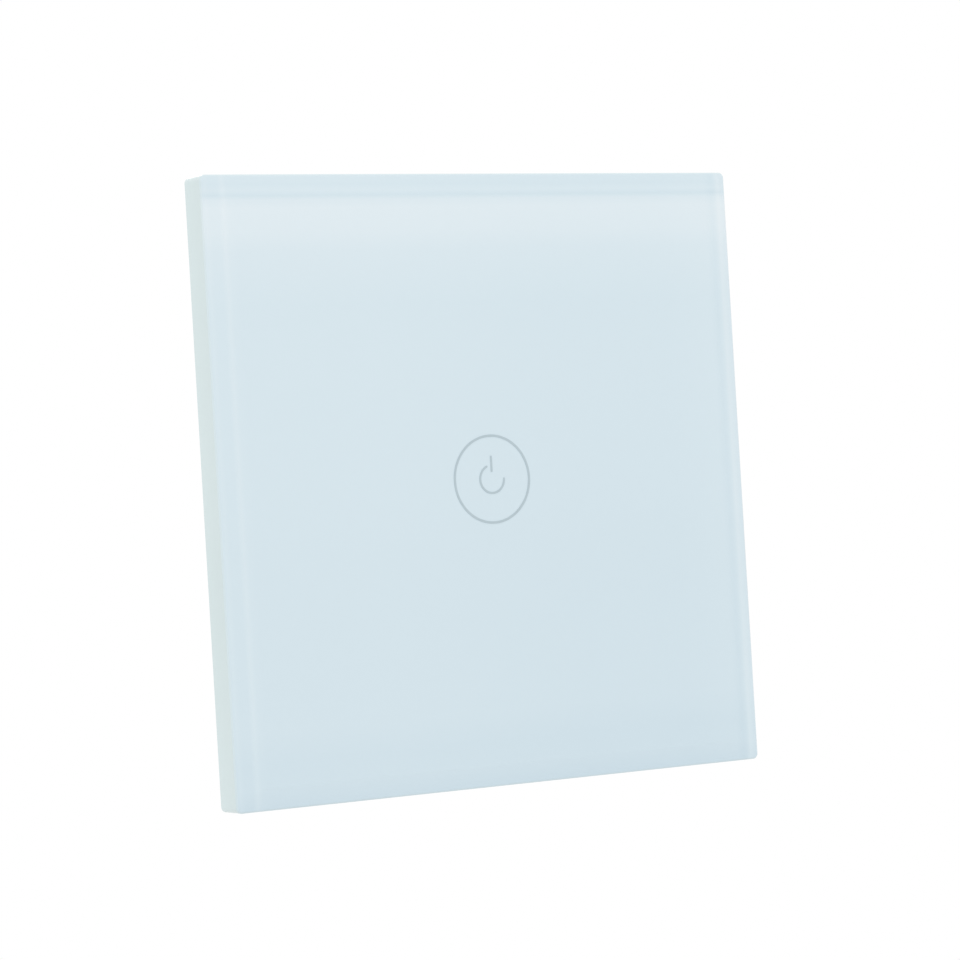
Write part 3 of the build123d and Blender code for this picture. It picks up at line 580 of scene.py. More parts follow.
@dataclass(frozen=True)
class BackedGlass(Finish):
    """A polished pane with a fired coat behind it, seen through the glass, with painted light and shade along
    its sides.
    """

    strength: float = 0.03
    relief: float = 0.02
    wipe: float = 0.02
    dust: float = 0.03
    edge: Color = (0.7, 0.8, 0.8)
    # The next two colours are painted shade and painted light, mixed into the coat colour along the sides.
    shade: Color = (0.3, 0.47, 0.6)
    painted_light: Color = (1.0, 1.0, 1.0)
    pane: str = "glass_panel"
    ior: float = 1.52
    cloud: float = 0.02
    cloud_scale: float = 14.0
    seed: float = 0.03
    seed_scale: float = 60.0
    wave_scale: float = 30.0
    face_range: tuple[float, float] = (0.55, 0.85)
    # Painted light and shade along each of the pane's sides.
    painted_side_light_shade: tuple[PaintedSideLightShade, ...] = ()

    def plain(self) -> dict[str, float]:
        """Returns how the glass bends light."""
        return {"IOR": self.ior}

    def surface(self, build: NodeBuilder) -> tuple[Socket | float, ...]:
        """Joins the coat's colour, the greener edges, painted light and shade along the four sides and the
        glass's faint waves.

        Args:
            build: The material's node builder.

        Returns:
            The colour, the roughness and the relief's height.
        """
        low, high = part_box(self.pane)
        spot = build.place()
        place = build.axes(spot)
        total = build.around(build.noise(spot, self.cloud_scale), self.cloud)
        # Each side adds its painted light and painted shade to the coat's random cloud.
        for side_light_shade in self.painted_side_light_shade:
            total = build.math("ADD", total, side_light_shade.share(build, place, high.x))
        # Above zero the sum is painted light, mixed towards white; below zero it is painted shade.
        light = build.math("MAXIMUM", total, 0.0)
        dark = build.math("MAXIMUM", build.math("MULTIPLY", total, -1.0), 0.0)
        face = build.mix(dark, build.mix(light, self.color, self.painted_light), self.shade)
        seed = build.around(build.noise(spot, self.seed_scale, detail=2.0), self.seed)
        depth = build.ramp(place[1], low.y, high.y)
        gain = build.math("ADD", seed, build.math("MULTIPLY_ADD", depth, self.seed, 1 - self.seed / 2))
        color = build.mix(build.facing(*self.face_range), build.scaled(self.edge, gain), face)
        return color, self.roughness, build.noise(spot, self.wave_scale, detail=2.0)


@dataclass(frozen=True)
class FiredCoat(Finish):
    """Ceramic enamel with the fine pits and cloud of screen printing."""

    strength: float = 0.2
    relief: float = 0.01
    wipe: float = 0.06
    cloud: float = 0.05
    cloud_scale: float = 90.0
    pit_scale: float = 5200.0
    pit_range: tuple[float, float] = (0.30, 0.42)
    pit_shade: float = 0.04

    def surface(self, build: NodeBuilder) -> tuple[Socket | float, ...]:
        """Joins the cloud and the pits.

        Args:
            build: The material's node builder.

        Returns:
            The colour, the roughness and the relief's height.
        """
        spot = build.place()
        cloud = build.around(build.noise(spot, self.cloud_scale, detail=5.0), self.cloud)
        pits = build.ramp(build.noise(spot, self.pit_scale, detail=1.0), *self.pit_range)
        pale = build.math("MULTIPLY_ADD", pits, self.pit_shade, 1 - self.pit_shade)
        return build.scaled(self.color, build.math("ADD", cloud, pale)), self.roughness, pits


@dataclass(frozen=True)
class Laminate(Finish):
    """A circuit board: solder resist over stepped copper tracks, with a bare edge."""

    strength: float = 0.5
    relief: float = 0.035
    wipe: float = 0.08
    dust: float = 0.1
    core: Color = (0.4, 0.36, 0.2)
    copper: Color = (0.09, 0.4, 0.2)
    pitch: float = 2.4 * MM
    brick: float = 2.2
    gap: float = 0.07
    offset: float = 0.37
    squash: float = 1.6
    steps: Rings = ((190.0, 0.44, 0.46), (83.0, 0.62, 0.63))
    weave: float = 0.18
    weave_scale: float = 4200.0
    face_range: tuple[float, float] = (0.5, 0.8)

    def surface(self, build: NodeBuilder) -> tuple[Socket | float, ...]:
        """Joins the tracks, the resist and the weave of the core.

        Args:
            build: The material's node builder.

        Returns:
            The colour, the roughness and the relief's height.
        """
        spot = build.place()
        snapped = build.add("ShaderNodeVectorMath", {0: spot, 1: (self.pitch,) * 3}, operation="SNAP")
        values = {"Vector": build.mapped(spot, turn=UPRIGHT), "Scale": 1 / (self.brick * self.pitch),
                  "Mortar Size": self.gap}
        brick = build.add("ShaderNodeTexBrick", values, offset=self.offset, squash=self.squash)
        patch, run = [build.ramp(build.noise(snapped.outputs[0], scale, detail=0.0), low, high)
                      for scale, low, high in self.steps]
        track = build.math("MAXIMUM", build.math("MULTIPLY", brick.outputs["Fac"], patch), run)
        resist = build.mix(track, self.color, self.copper)
        shade = build.mix(build.facing(*self.face_range), self.core, resist)
        weave = build.math("MULTIPLY", build.noise(spot, self.weave_scale, detail=1.0), self.weave)
        return build.mix(weave, shade, self.core, blend="SOFT_LIGHT"), self.roughness, track


FACE = srgb(214, 229, 236)
EDGE = srgb(215, 229, 230)
# Painted light and shade along the pane's sides. The lower side gets painted shade. The upper one has
# a painted pale ridge and a painted dark line where the ground rim ends, then painted light standing
# for what the rim throws on the coat, which fades inwards. The left one has a faint painted pale ridge
# at its edge and at the rim's end. The right one has a painted paler line and a painted darker one beside it.
PAINTED_SIDE_LIGHT_SHADE = (
    PaintedSideLightShade(2, -1, ((0.0, -0.24), (0.5, -0.18), (2.8, -0.11), (6.3, -0.11), (10.5, -0.055), (60.0, 0.0))),
    PaintedSideLightShade(2, 1, ((0.0, 0.03), (1.4, -0.01), (2.2, 0.05), (2.9, -0.06), (3.5, 0.14), (4.6, 0.22),
                  (7.9, 0.18), (10.5, 0.08), (18.0, 0.0))),
    PaintedSideLightShade(0, -1, ((0.0, 0.0), (0.7, 0.05), (1.3, 0.0), (2.5, 0.0), (3.2, 0.09), (3.9, 0.02), (5.1, 0.0))),
    PaintedSideLightShade(0, 1, ((0.0, 0.02), (1.4, 0.13), (2.0, -0.01), (2.6, -0.06), (3.9, 0.0), (12.0, -0.03),
                  (30.0, -0.03), (60.0, 0.0))),
)

FINISHES = {finish.slot: finish for finish in (
    BackedGlass("glass", FACE, 0.06, edge=EDGE, painted_side_light_shade=PAINTED_SIDE_LIGHT_SHADE),
    FiredCoat("enamel", srgb(222, 232, 236), 0.32),
    Moulded("mark", srgb(181, 197, 204), 0.35, grain=12000.0, strength=0.05, mottle=0.06),
    Moulded("tape", srgb(236, 236, 232), 0.75, grain=2600.0, strength=0.4, mottle=0.08),
    Moulded("white_plastic", srgb(238, 239, 236), 0.42),
    Moulded("grey_plastic", srgb(214, 217, 217), 0.48, grain=7000.0, strength=0.22),
    Moulded("block_plastic", srgb(60, 128, 92), 0.4, grain=6000.0),
    Metal("screw_steel", srgb(196, 199, 203), 0.28),
    Metal("brass", srgb(212, 178, 106), 0.3, tarnish=0.2),
    Laminate("board", srgb(22, 92, 52), 0.3, copper=srgb(44, 128, 74)),
    Metal("spring_steel", srgb(208, 211, 215), 0.18, lines=9000.0, tarnish=0.05),
    ClearPlastic("clear_plastic", srgb(236, 242, 246), 0.08),
    Moulded("lamp", srgb(244, 226, 150), 0.25, grain=5000.0, coat=0.6),
    Moulded("black_plastic", srgb(44, 45, 48), 0.5, grain=9000.0, strength=0.3),
    Moulded("ceramic", srgb(196, 170, 132), 0.4, grain=8000.0, mottle=0.12),
    Moulded("relay_plastic", srgb(48, 92, 150), 0.28, grain=5000.0, coat=0.3),
    Metal("iron", srgb(176, 178, 182), 0.36, tarnish=0.25),
    Metal("copper", srgb(190, 104, 62), 0.3, lines=12000.0, contrast=0.35, strength=0.4),
    Moulded("film", srgb(208, 176, 66), 0.3, grain=4000.0, coat=0.3),
    Moulded("can", srgb(52, 56, 70), 0.25, grain=4000.0, coat=0.5),
    Moulded("ferrite", srgb(62, 62, 64), 0.55, grain=3000.0, strength=0.5, mottle=0.2),
    Moulded("blue_coat", srgb(46, 84, 160), 0.22, grain=1800.0, strength=0.3, coat=0.6),
    Metal("solder", srgb(190, 192, 194), 0.24, lines=2500.0, contrast=0.1, tarnish=0.2),
)}


def spread(middle: float, count: int, pitch: float) -> list[float]:
    """Sets equal parts in a row.

    Args:
        middle: The row's middle.
        count: How many parts it has.
        pitch: How far apart they are.

    Returns:
        The place of each part.
    """
    return [middle + (number - (count - 1) / 2) * pitch for number in range(count)]


@dataclass(frozen=True)
class Span:
    """The room a solid takes up in millimetres, with levels counted from the wall to the room."""

    left: float
    right: float
    rear: float
    front: float
    bottom: float
    top: float

    @classmethod
    def of(cls, node: str) -> "Span":
        """Reads a solid's room from the frame.

        Args:
            node: The node's name.

        Returns:
            Its room.
        """
        low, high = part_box(node)
        return cls(low.x / MM, high.x / MM, -high.y / MM, -low.y / MM, low.z / MM, high.z / MM)

    @property
    def x(self) -> float:
        """The middle from left to right."""
        return (self.left + self.right) / 2

    @property
    def z(self) -> float:
        """The middle from bottom to top."""
        return (self.bottom + self.top) / 2


# A soldered joint's outline, as shares of its radius and of its height.
JOINT_RINGS = ((1.0, 0.0), (0.98, 0.06), (0.72, 0.18), (0.48, 0.42), (0.36, 0.75), (0.30, 0.95), (0.15, 1.0))
FEW_STEPS = 16
MANY_STEPS = 28


class Form:
    """A mesh in the making, in millimetres: x to the right, levels towards the room, z up."""

    def __init__(self) -> None:
        """Starts with an empty mesh."""
        self.mesh = bmesh.new()

    def hull(self, points: list[Point]) -> None:
        """Adds the convex form round some points.

        Args:
            points: The points, as x, level and z.
        """
        made = [self.mesh.verts.new((x * MM, -level * MM, z * MM)) for x, level, z in points]
        bmesh.ops.convex_hull(self.mesh, input=made)

    def block(self, x: float, z: float, wide: float, high: float, rear: float, front: float,
              ease: float = 0.0) -> None:
        """Adds a block whose front is eased.

        Args:
            x: The middle from left to right.
            z: The middle from bottom to top.
            wide: Its width.
            high: Its height.
            rear: The level it stands on.
            front: The level of its face.
            ease: How far its face's edges are cut back.
        """
        cut = ease if front > rear else -ease
        rings = [(rear, 0.0), (front - cut, 0.0), (front, ease)] if ease else [(rear, 0.0), (front, 0.0)]
        self.hull([(x + a * (wide / 2 - inset), level, z + b * (high / 2 - inset))
                   for level, inset in rings for a in (-1, 1) for b in (-1, 1)])

    def turned(self, x: float, z: float, outline: Rings, steps: int = 20) -> None:
        """Adds a turned form that stands on the drawing's plane.

        Args:
            x: Its middle from left to right.
            z: Its middle from bottom to top.
            outline: Its radii and levels, foot first.
            steps: How many sides it has.
        """
        rings = []
        for radius, level in outline:
            turns = [2 * math.pi * step / steps for step in range(steps)]
            rings.append([self.mesh.verts.new(((x + radius * math.cos(turn)) * MM, -level * MM,
                                               (z + radius * math.sin(turn)) * MM)) for turn in turns])
        for lower, upper in zip(rings, rings[1:]):
            for step in range(steps):
                after = (step + 1) % steps
                self.mesh.faces.new((lower[step], lower[after], upper[after], upper[step]))
        for ring in (rings[0], rings[-1]):
            self.mesh.faces.new(ring)

    def joint(self, x: float, z: float, level: float, radius: float, rise: float) -> None:
        """Adds a soldered joint: a hollow cone of solder round the end of a lead.

        Args:
            x: Its middle from left to right.
            z: Its middle from bottom to top.
            level: The board's face.
            radius: The pad's radius.
            rise: Its height, below zero where it points to the rear.
        """
        rings = tuple((radius * wide, level + rise * high) for wide, high in JOINT_RINGS)
        self.turned(x, z, rings, FEW_STEPS)


class Dresser:
    """Makes each finish once and puts it on solids and on added pieces."""

    def __init__(self) -> None:
        """Starts with no finish made."""
        self.made: dict[str, Material] = {}
        self.slots = {part["node"]: part["material_slot"] for part in frame["record"]["subparts"]}

    def finish(self, name: str) -> Material:
        """Finds a finish's material, which is made when it is first asked for.

        Args:
            name: The finish's name.

        Returns:
            Its material.
        """
        if name not in self.made:
            self.made[name] = FINISHES[name].material()
        return self.made[name]

    def node(self, name: str) -> None:
        """Puts its finish on a solid of the frame.

        Args:
            name: The node's name.
        """
        mesh = frame["nodes"][name].data
        mesh.materials.clear()
        mesh.materials.append(self.finish(self.slots[name]))
        LOG.info("dressed %s with %s", name, self.slots[name])

    def piece(self, name: str, form: Form, slot: str, finish: str = "", body: Body = Body.BASE,
              smooth: bool = False) -> None:
        """Turns a form into a piece of the object.

        Args:
            name: The piece's name.
            form: The form. Its mesh is freed.
            slot: The record's slot that it belongs to.
            finish: The finish it wears, where that isn't the slot's own.
            body: The body it rides on.
            smooth: Whether its faces are shaded smooth.
        """
        bmesh.ops.recalc_face_normals(form.mesh, faces=form.mesh.faces)
        data = bpy.data.meshes.new(name)
        form.mesh.to_mesh(data)
        form.mesh.free()
        if smooth:
            data.polygons.foreach_set("use_smooth", [True] * len(data.polygons))
            data.set_sharp_from_angle(angle=SHARP)
        data.materials.append(self.finish(finish or slot))
        piece = show(name, data)
        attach(piece, body.value)
        LOG.info("added %s on %s", name, body.value)


@dataclass
class SubAssembly:
    """A group of solids that are dressed together, with the small detail the solids leave out.

    Its sizes are in millimetres.
    """

    dresser: Dresser
    nodes: tuple[str, ...] = ()

    def build(self) -> None:
        """Dresses the solids, then adds the detail."""
        for node in self.nodes:
            self.dresser.node(node)
        self.detail()

    def detail(self) -> None:
        """Adds the group's small pieces. Each group has its own."""
        raise NotImplementedError


@dataclass
class GlassFront(SubAssembly):
    """The pane with its coat, mark and tape, and the frame bonded behind it."""

    nodes: tuple[str, ...] = ("glass_panel", "enamel_coat", "touch_mark", "bond_tape", "panel_frame")
    web: float = 1.4
    mark_rings: Rings = ((1.5, 0.0), (1.5, 0.06), (1.2, 0.06), (1.125, 0.03))
    mark_places: tuple[float, ...] = (-13.0, 0.0, 13.0)
    mark_row: float = 33.4

    def detail(self) -> None:
        """Adds the marks that the mould's ejector pins leave on the back of the frame."""
        web_back = Span.of("bond_tape").rear - self.web
        marks = Form()
        for z in (-self.mark_row, self.mark_row):
            for x in self.mark_places:
                marks.turned(x, z, tuple((radius, web_back - rise) for radius, rise in self.mark_rings),
                             MANY_STEPS)
        self.dresser.piece("panel_frame_pin_marks", marks, "white_plastic", body=Body.PANEL)


@dataclass
class Mounting(SubAssembly):
    """The frame that is screwed to the wall box."""

    nodes: tuple[str, ...] = ("mounting_frame",)
    plate: float = 1.8
    arrow_high: float = 4.0
    arrow_wide: float = 3.4
    stem: float = 1.1
    rise: float = 0.3
    sign_row: float = 31.5
    line_length: float = 5.0
    line_width: float = 0.5
    line_reach: float = 9.0
    rim: float = 1.4
    gusset_thick: float = 0.9
    gusset_reach: float = 2.0
    gusset_places: tuple[float, ...] = (-14.0, 14.0)

    def detail(self) -> None:
        """Adds the moulded arrow that points up, the level lines and the rim's gussets."""
        sign = Form()
        foot, tip = self.sign_row - self.arrow_high / 2, self.sign_row + self.arrow_high / 2
        neck = self.sign_row
        top = self.plate + self.rise
        sign.block(0, (foot + neck) / 2, self.stem, neck - foot, self.plate, top, self.rise / 3)
        sign.hull([(x, level, z) for level in (self.plate, top)
                   for x, z in ((-self.arrow_wide / 2, neck), (self.arrow_wide / 2, neck), (0, tip))])
        for x in (-self.line_reach, self.line_reach):
            sign.block(x, self.sign_row, self.line_length, self.line_width, self.plate, top, self.rise / 3)
        self.dresser.piece("mounting_frame_arrow", sign, "white_plastic")
        gussets = Form()
        edge = Span.of("mounting_frame").right - self.rim
        high = Span.of("mounting_frame").front
        half = self.gusset_thick / 2
        for along in self.gusset_places:
            for side in (-1, 1):
                near, far = side * (edge - self.gusset_reach), side * (edge + self.rim / 2)
                slope = ((near, self.plate), (far, self.plate), (far, high), (side * edge, high))
                ends = [(away, level, along + shift) for away, level in slope for shift in (-half, half)]
                gussets.hull([(place, level, away) for away, level, place in ends])
                gussets.hull(ends)
        self.dresser.piece("mounting_frame_gussets", gussets, "white_plastic")


@dataclass
class RearHousing(SubAssembly):
    """The deep housing with its long screws."""

    nodes: tuple[str, ...] = ("rear_housing", "housing_screws")
    rib_place: float = 18.5
    rib_width: float = 1.4
    rib_rise: float = 0.5
    rib_rear: float = 4.0
    rib_front: float = 2.0

    def detail(self) -> None:
        """Adds the crush ribs along the sides and the top, which centre the housing in its box."""
        room = Span.of("rear_housing")
        rear, front = room.rear + self.rib_rear, -self.rib_front
        top, half, slim = self.rib_rise, self.rib_width / 2, self.rib_width / 4
        ribs = Form()
        for along in (-self.rib_place, self.rib_place):
            for face, side in ((room.right, -1), (room.right, 1), (room.top, 0)):
                ends = [(face + rise, level, along + shift * wide)
                        for rise, wide, inset in ((-top, half, 0.0), (0.0, half, 0.0), (top, slim, top))
                        for shift in (-1, 1) for level in (rear + inset, front - inset)]
                ribs.hull([(side * out, level, place) if side else (place, level, out)
                           for out, level, place in ends])
        self.dresser.piece("housing_crush_ribs", ribs, "grey_plastic")


@dataclass
class TerminalBlock(SubAssembly):
    """The block with its bars, screws and cages."""

    nodes: tuple[str, ...] = (
        "terminal_block", "terminal_bars", "terminal_screw_1", "terminal_screw_2", "terminal_screw_3",
        "terminal_cage_1", "terminal_cage_2", "terminal_cage_3",
    )
    pocket_width: float = 6.2
    pocket_rear: float = -29.0
    pocket_front: float = -18.2
    lip: float = 0.45
    rise: float = 0.3

    def detail(self) -> None:
        """Adds the raised lip round each wire entry."""
        block = Span.of("terminal_block")
        lips = Form()
        foot, edge = block.bottom, block.bottom - self.rise
        for number in (1, 2, 3):
            x = Span.of(f"terminal_cage_{number}").x
            inner, outer = self.pocket_width / 2, self.pocket_width / 2 + self.lip
            rear, front = self.pocket_rear, self.pocket_front
            for side in (-1, 1):
                lips.hull([(x + side * reach, level, z) for reach, z in
                           ((inner, foot), (outer, foot), (outer - self.rise / 2, edge), (inner, edge))
                           for level in (rear - self.lip, front + self.lip)])
            for near, far in ((rear, rear - self.lip), (front, front + self.lip)):
                slant = self.rise / 2 if far > near else -self.rise / 2
                lips.hull([(x + reach, level, z) for reach in (-inner, inner)
                           for level, z in ((near, foot), (far, foot), (far - slant, edge), (near, edge))])
        self.dresser.piece("wire_entry_lips", lips, "block_plastic")


@dataclass
class SensorBoard(SubAssembly):
    """The board behind the glass with the touch electrode, the light guide and small parts."""

    nodes: tuple[str, ...] = (
        "sensor_board", "sensor_board_screws", "touch_electrode", "light_guide", "indicator_lamps",
        "touch_chip", "sensor_passives", "header_socket",
    )
    passive_length: float = 1.6
    passive_width: float = 0.8
    cap_length: float = 0.36
    cap_skin: float = 0.03
    lens_rings: Rings = ((1.0, -0.02), (1.0, 0.03), (0.8, 0.09), (0.4, 0.13), (0.1, 0.14))
    leg_rows: int = 7
    leg_pitch: float = 1.27
    leg_width: float = 0.6
    leg_reach: float = 0.9
    wire_half: float = 0.3
    foot_drop: float = 0.66
    foot_pad: float = 0.85
    pin_rows: int = 5
    pin_spacing: float = 2.0
    pin_pad: float = 0.6
    joint_rise: float = 0.7

    def detail(self) -> None:
        """Adds end caps, lamp lenses and soldered joints."""
        self.end_caps()
        self.lamp_lenses()
        self.joints()

    def end_caps(self) -> None:
        """Caps both ends of each small resistor and capacitor."""
        board, room = Span.of("sensor_board").front, Span.of("sensor_passives")
        caps = Form()
        reach = (self.passive_length - self.cap_length) / 2 + self.cap_skin
        columns = (room.left + self.passive_length / 2, room.right - self.passive_length / 2)
        rows = (room.bottom + self.passive_width / 2, room.z, room.top - self.passive_width / 2)
        for x in columns:
            for z in rows:
                for side in (-1, 1):
                    caps.block(x + side * reach, z, self.cap_length, self.passive_width + 2 * self.cap_skin,
                               board, room.front + self.cap_skin, 2 * self.cap_skin)
        self.dresser.piece("passive_end_caps", caps, "screw_steel", "solder")

    def lamp_lenses(self) -> None:
        """Puts a domed lens on each lamp."""
        room = Span.of("indicator_lamps")
        lenses = Form()
        radius = self.passive_width / 2
        for z in (room.bottom + radius * 1.5, room.top - radius * 1.5):
            rings = tuple((radius * wide, room.front + rise) for wide, rise in self.lens_rings)
            lenses.turned(room.x, z, rings)
        self.dresser.piece("lamp_lenses", lenses, "lamp", smooth=True)

    def joints(self) -> None:
        """Adds the fillets at the chip's legs and the joints of the electrode and the socket's pins."""
        joints = Form()
        board, chip = Span.of("sensor_board").front, Span.of("touch_chip")
        for z in spread(chip.z, self.leg_rows, self.leg_pitch):
            for side, edge in ((-1, chip.left), (1, chip.right)):
                foot, inner = edge + side * self.leg_reach / 3, edge - side * self.leg_reach / 2
                half = self.leg_width / 2
                joints.hull([(x, level, z + shift * wide) for x, level, wide in
                             ((foot, board, half), (inner, board, half), (inner, board + half, half / 2),
                              (edge, board + half, half / 2)) for shift in (-1, 1)])
        coil = Span.of("touch_electrode")
        joints.joint(coil.right - self.wire_half, coil.z - self.foot_drop, board, self.foot_pad,
                     self.joint_rise)
        socket = Span.of("header_socket")
        for x in spread(socket.x, self.pin_rows, self.pin_spacing):
            joints.joint(x, socket.z, board, self.pin_pad, self.joint_rise)
        self.dresser.piece("sensor_board_joints", joints, "screw_steel", "solder", smooth=True)


@dataclass
class PowerBoard(SubAssembly):
    """The board with the supply, the relay and the terminals' legs."""

    nodes: tuple[str, ...] = (
        "power_board", "board_header", "film_capacitor", "fuse_resistor", "storage_capacitor",
        "smoothing_capacitor", "choke_core", "choke_winding", "varistor", "bridge_rectifier", "supply_chip",
    )
    pad: float = 0.9
    rise: float = 1.2
    leads: tuple[tuple[str, float], ...] = (
        ("storage_capacitor", 1.6), ("smoothing_capacitor", 1.6), ("choke_core", 1.6),
        ("film_capacitor", 5.0), ("varistor", 2.4), ("fuse_resistor", 5.0),
    )
    leg_counts: tuple[tuple[str, int], ...] = (("supply_chip", 4), ("bridge_rectifier", 2))
    relay_pin: float = 1.4
    relay_end: float = 1.6
    relay_step: float = 3.0
    pin_rows: int = 5
    pin_spacing: float = 2.0
    leg_centre: float = 0.4
    fillet_rings: Rings = ((2.3, 1.2, 0.0), (2.25, 1.15, 0.1), (1.62, 0.5, 0.7))
    leg_reach: float = 1.0
    leg_width: float = 0.5
    leg_thick: float = 0.2
    sleeve: float = 0.7
    score: float = 0.192
    score_rise: float = 0.08
    arc_points: int = 9
    arc_margin: float = 0.3

    def detail(self) -> None:
        """Adds joints, legs and the tops of the cans."""
        self.rear_joints()
        self.terminal_fillets()
        for node, count in self.leg_counts:
            self.legs(node, count)
        for node in ("storage_capacitor", "smoothing_capacitor"):
            self.can_top(node)

    def rear_joints(self) -> None:
        """Solders every lead behind the board."""
        board = Span.of("power_board").rear
        places = []
        for node, reach in self.leads:
            room = Span.of(node)
            places += [(room.x - reach, room.z), (room.x + reach, room.z)]
        relay = Span.of("relay_base")
        top, bottom = relay.top - self.relay_pin, relay.bottom + self.relay_pin
        first, last = relay.left + self.relay_pin, relay.right - self.relay_end
        places += [(first, top), (first, bottom), (last, relay.z), (last - self.relay_step, top),
                   (relay.x, bottom)]
        header = Span.of("board_header")
        places += [(x, header.z) for x in spread(header.x, self.pin_rows, self.pin_spacing)]
        joints = Form()
        for x, z in places:
            joints.joint(x, z, board, self.pad, -self.rise)
        self.dresser.piece("power_board_joints", joints, "screw_steel", "solder", smooth=True)

    def terminal_fillets(self) -> None:
        """Solders the terminal bars' legs where they come through the board."""
        fillets = Form()
        board = Span.of("power_board").front
        z = Span.of("terminal_bars").top - self.leg_centre
        for number in (1, 2, 3):
            x = Span.of(f"terminal_cage_{number}").x
            fillets.hull([(x + a * wide, board + rise, z + b * high) for wide, high, rise in self.fillet_rings
                          for a in (-1, 1) for b in (-1, 1)])
        self.dresser.piece("terminal_leg_joints", fillets, "screw_steel", "solder")

    def legs(self, node: str, count: int) -> None:
        """Gives a flat package its bent legs.

        Args:
            node: The package's node.
            count: How many legs it has on each side.
        """
        board, room = Span.of("power_board").front, Span.of(node)
        pitch = (room.top - room.bottom) / (count + 0.5)
        middle = (board + room.front) / 2
        legs = Form()
        for z in spread(room.z, count, pitch):
            for side, edge in ((-1, room.left), (1, room.right)):
                knee, foot = edge + side * self.leg_reach / 2, edge + side * self.leg_reach
                half = self.leg_width / 2
                inner, back = edge - side * self.leg_thick, knee - side * self.leg_thick
                top, low = middle + self.leg_thick, board + self.leg_thick
                for run in (((inner, middle), (inner, top), (knee, top), (knee, middle)),
                            ((back, top), (knee, middle), (back, board), (knee, board)),
                            ((back, board), (foot, board), (back, low), (foot, low))):
                    legs.hull([(x, level, z + shift * half) for x, level in run for shift in (-1, 1)])
        self.dresser.piece(f"{node}_legs", legs, "screw_steel")

    def can_top(self, node: str) -> None:
        """Shows the bare top of a sleeved can, scored in quarters.

        Args:
            node: The can's node.
        """
        room = Span.of(node)
        radius = (room.right - room.left) / 2 - self.sleeve
        whole = math.pi / 2
        steps = self.arc_points - 1 + 2 * self.arc_margin
        top = Form()
        for quarter in range(4):
            corner = (self.score, (quarter + 0.5) * whole)
            edge = [(radius, (quarter + (step + self.arc_margin) / steps) * whole)
                    for step in range(self.arc_points)]
            top.hull([(room.x + away * math.cos(turn), level, room.z + away * math.sin(turn))
                      for away, turn in [corner, *edge]
                      for level in (room.front - self.score_rise, room.front + self.score_rise)])
        self.dresser.piece(f"{node}_top", top, "iron")


@dataclass
class Relay(SubAssembly):
    """The relay, with its magnet and contacts under a cover."""

    nodes: tuple[str, ...] = (
        "relay_cover", "relay_base", "relay_yoke", "relay_bobbin", "relay_winding", "relay_core",
        "relay_armature", "relay_leaf", "relay_contact",
    )
    inset: float = 1.2
    line: float = 0.35
    rise: float = 0.12
    dot_inset: float = 3.6
    dot_drop: float = 2.88
    dot: float = 0.6
    dot_face: float = 0.5
    rivet_row: float = 0.55
    rivet_inset: float = 0.9
    rivet_rings: Rings = ((0.35, -0.05), (0.35, 0.05), (0.2, 0.12))

    def detail(self) -> None:
        """Adds the raised line on the cover, the first pin's dot and the rivets of the leaf."""
        room = Span.of("relay_cover")
        wide, high = room.right - room.left - 2 * self.inset, room.top - room.bottom - 2 * self.inset
        marks = Form()
        for side in (-1, 1):
            marks.block(room.x, room.z + side * high / 2, wide + self.line, self.line,
                        room.front, room.front + self.rise, self.rise / 2)
            marks.block(room.x + side * wide / 2, room.z, self.line, high - self.line,
                        room.front, room.front + self.rise, self.rise / 2)
        marks.turned(room.left + self.dot_inset, room.top - self.dot_drop,
                     ((self.dot, room.front), (self.dot, room.front + self.rise),
                      (self.dot_face, room.front + self.rise)))
        self.dresser.piece("relay_cover_marks", marks, "relay_plastic")
        leaf = Span.of("relay_leaf")
        rivets = Form()
        for z in (leaf.z - self.rivet_row, leaf.z + self.rivet_row):
            rivets.turned(leaf.left + self.rivet_inset, z,
                          tuple((radius, leaf.front + rise) for radius, rise in self.rivet_rings), FEW_STEPS)
        self.dresser.piece("relay_leaf_rivets", rivets, "brass", body=Body.ARM, smooth=True)


SUB_ASSEMBLIES: tuple[type[SubAssembly], ...] = (
    GlassFront, Mounting, RearHousing, TerminalBlock, SensorBoard, PowerBoard, Relay,
)


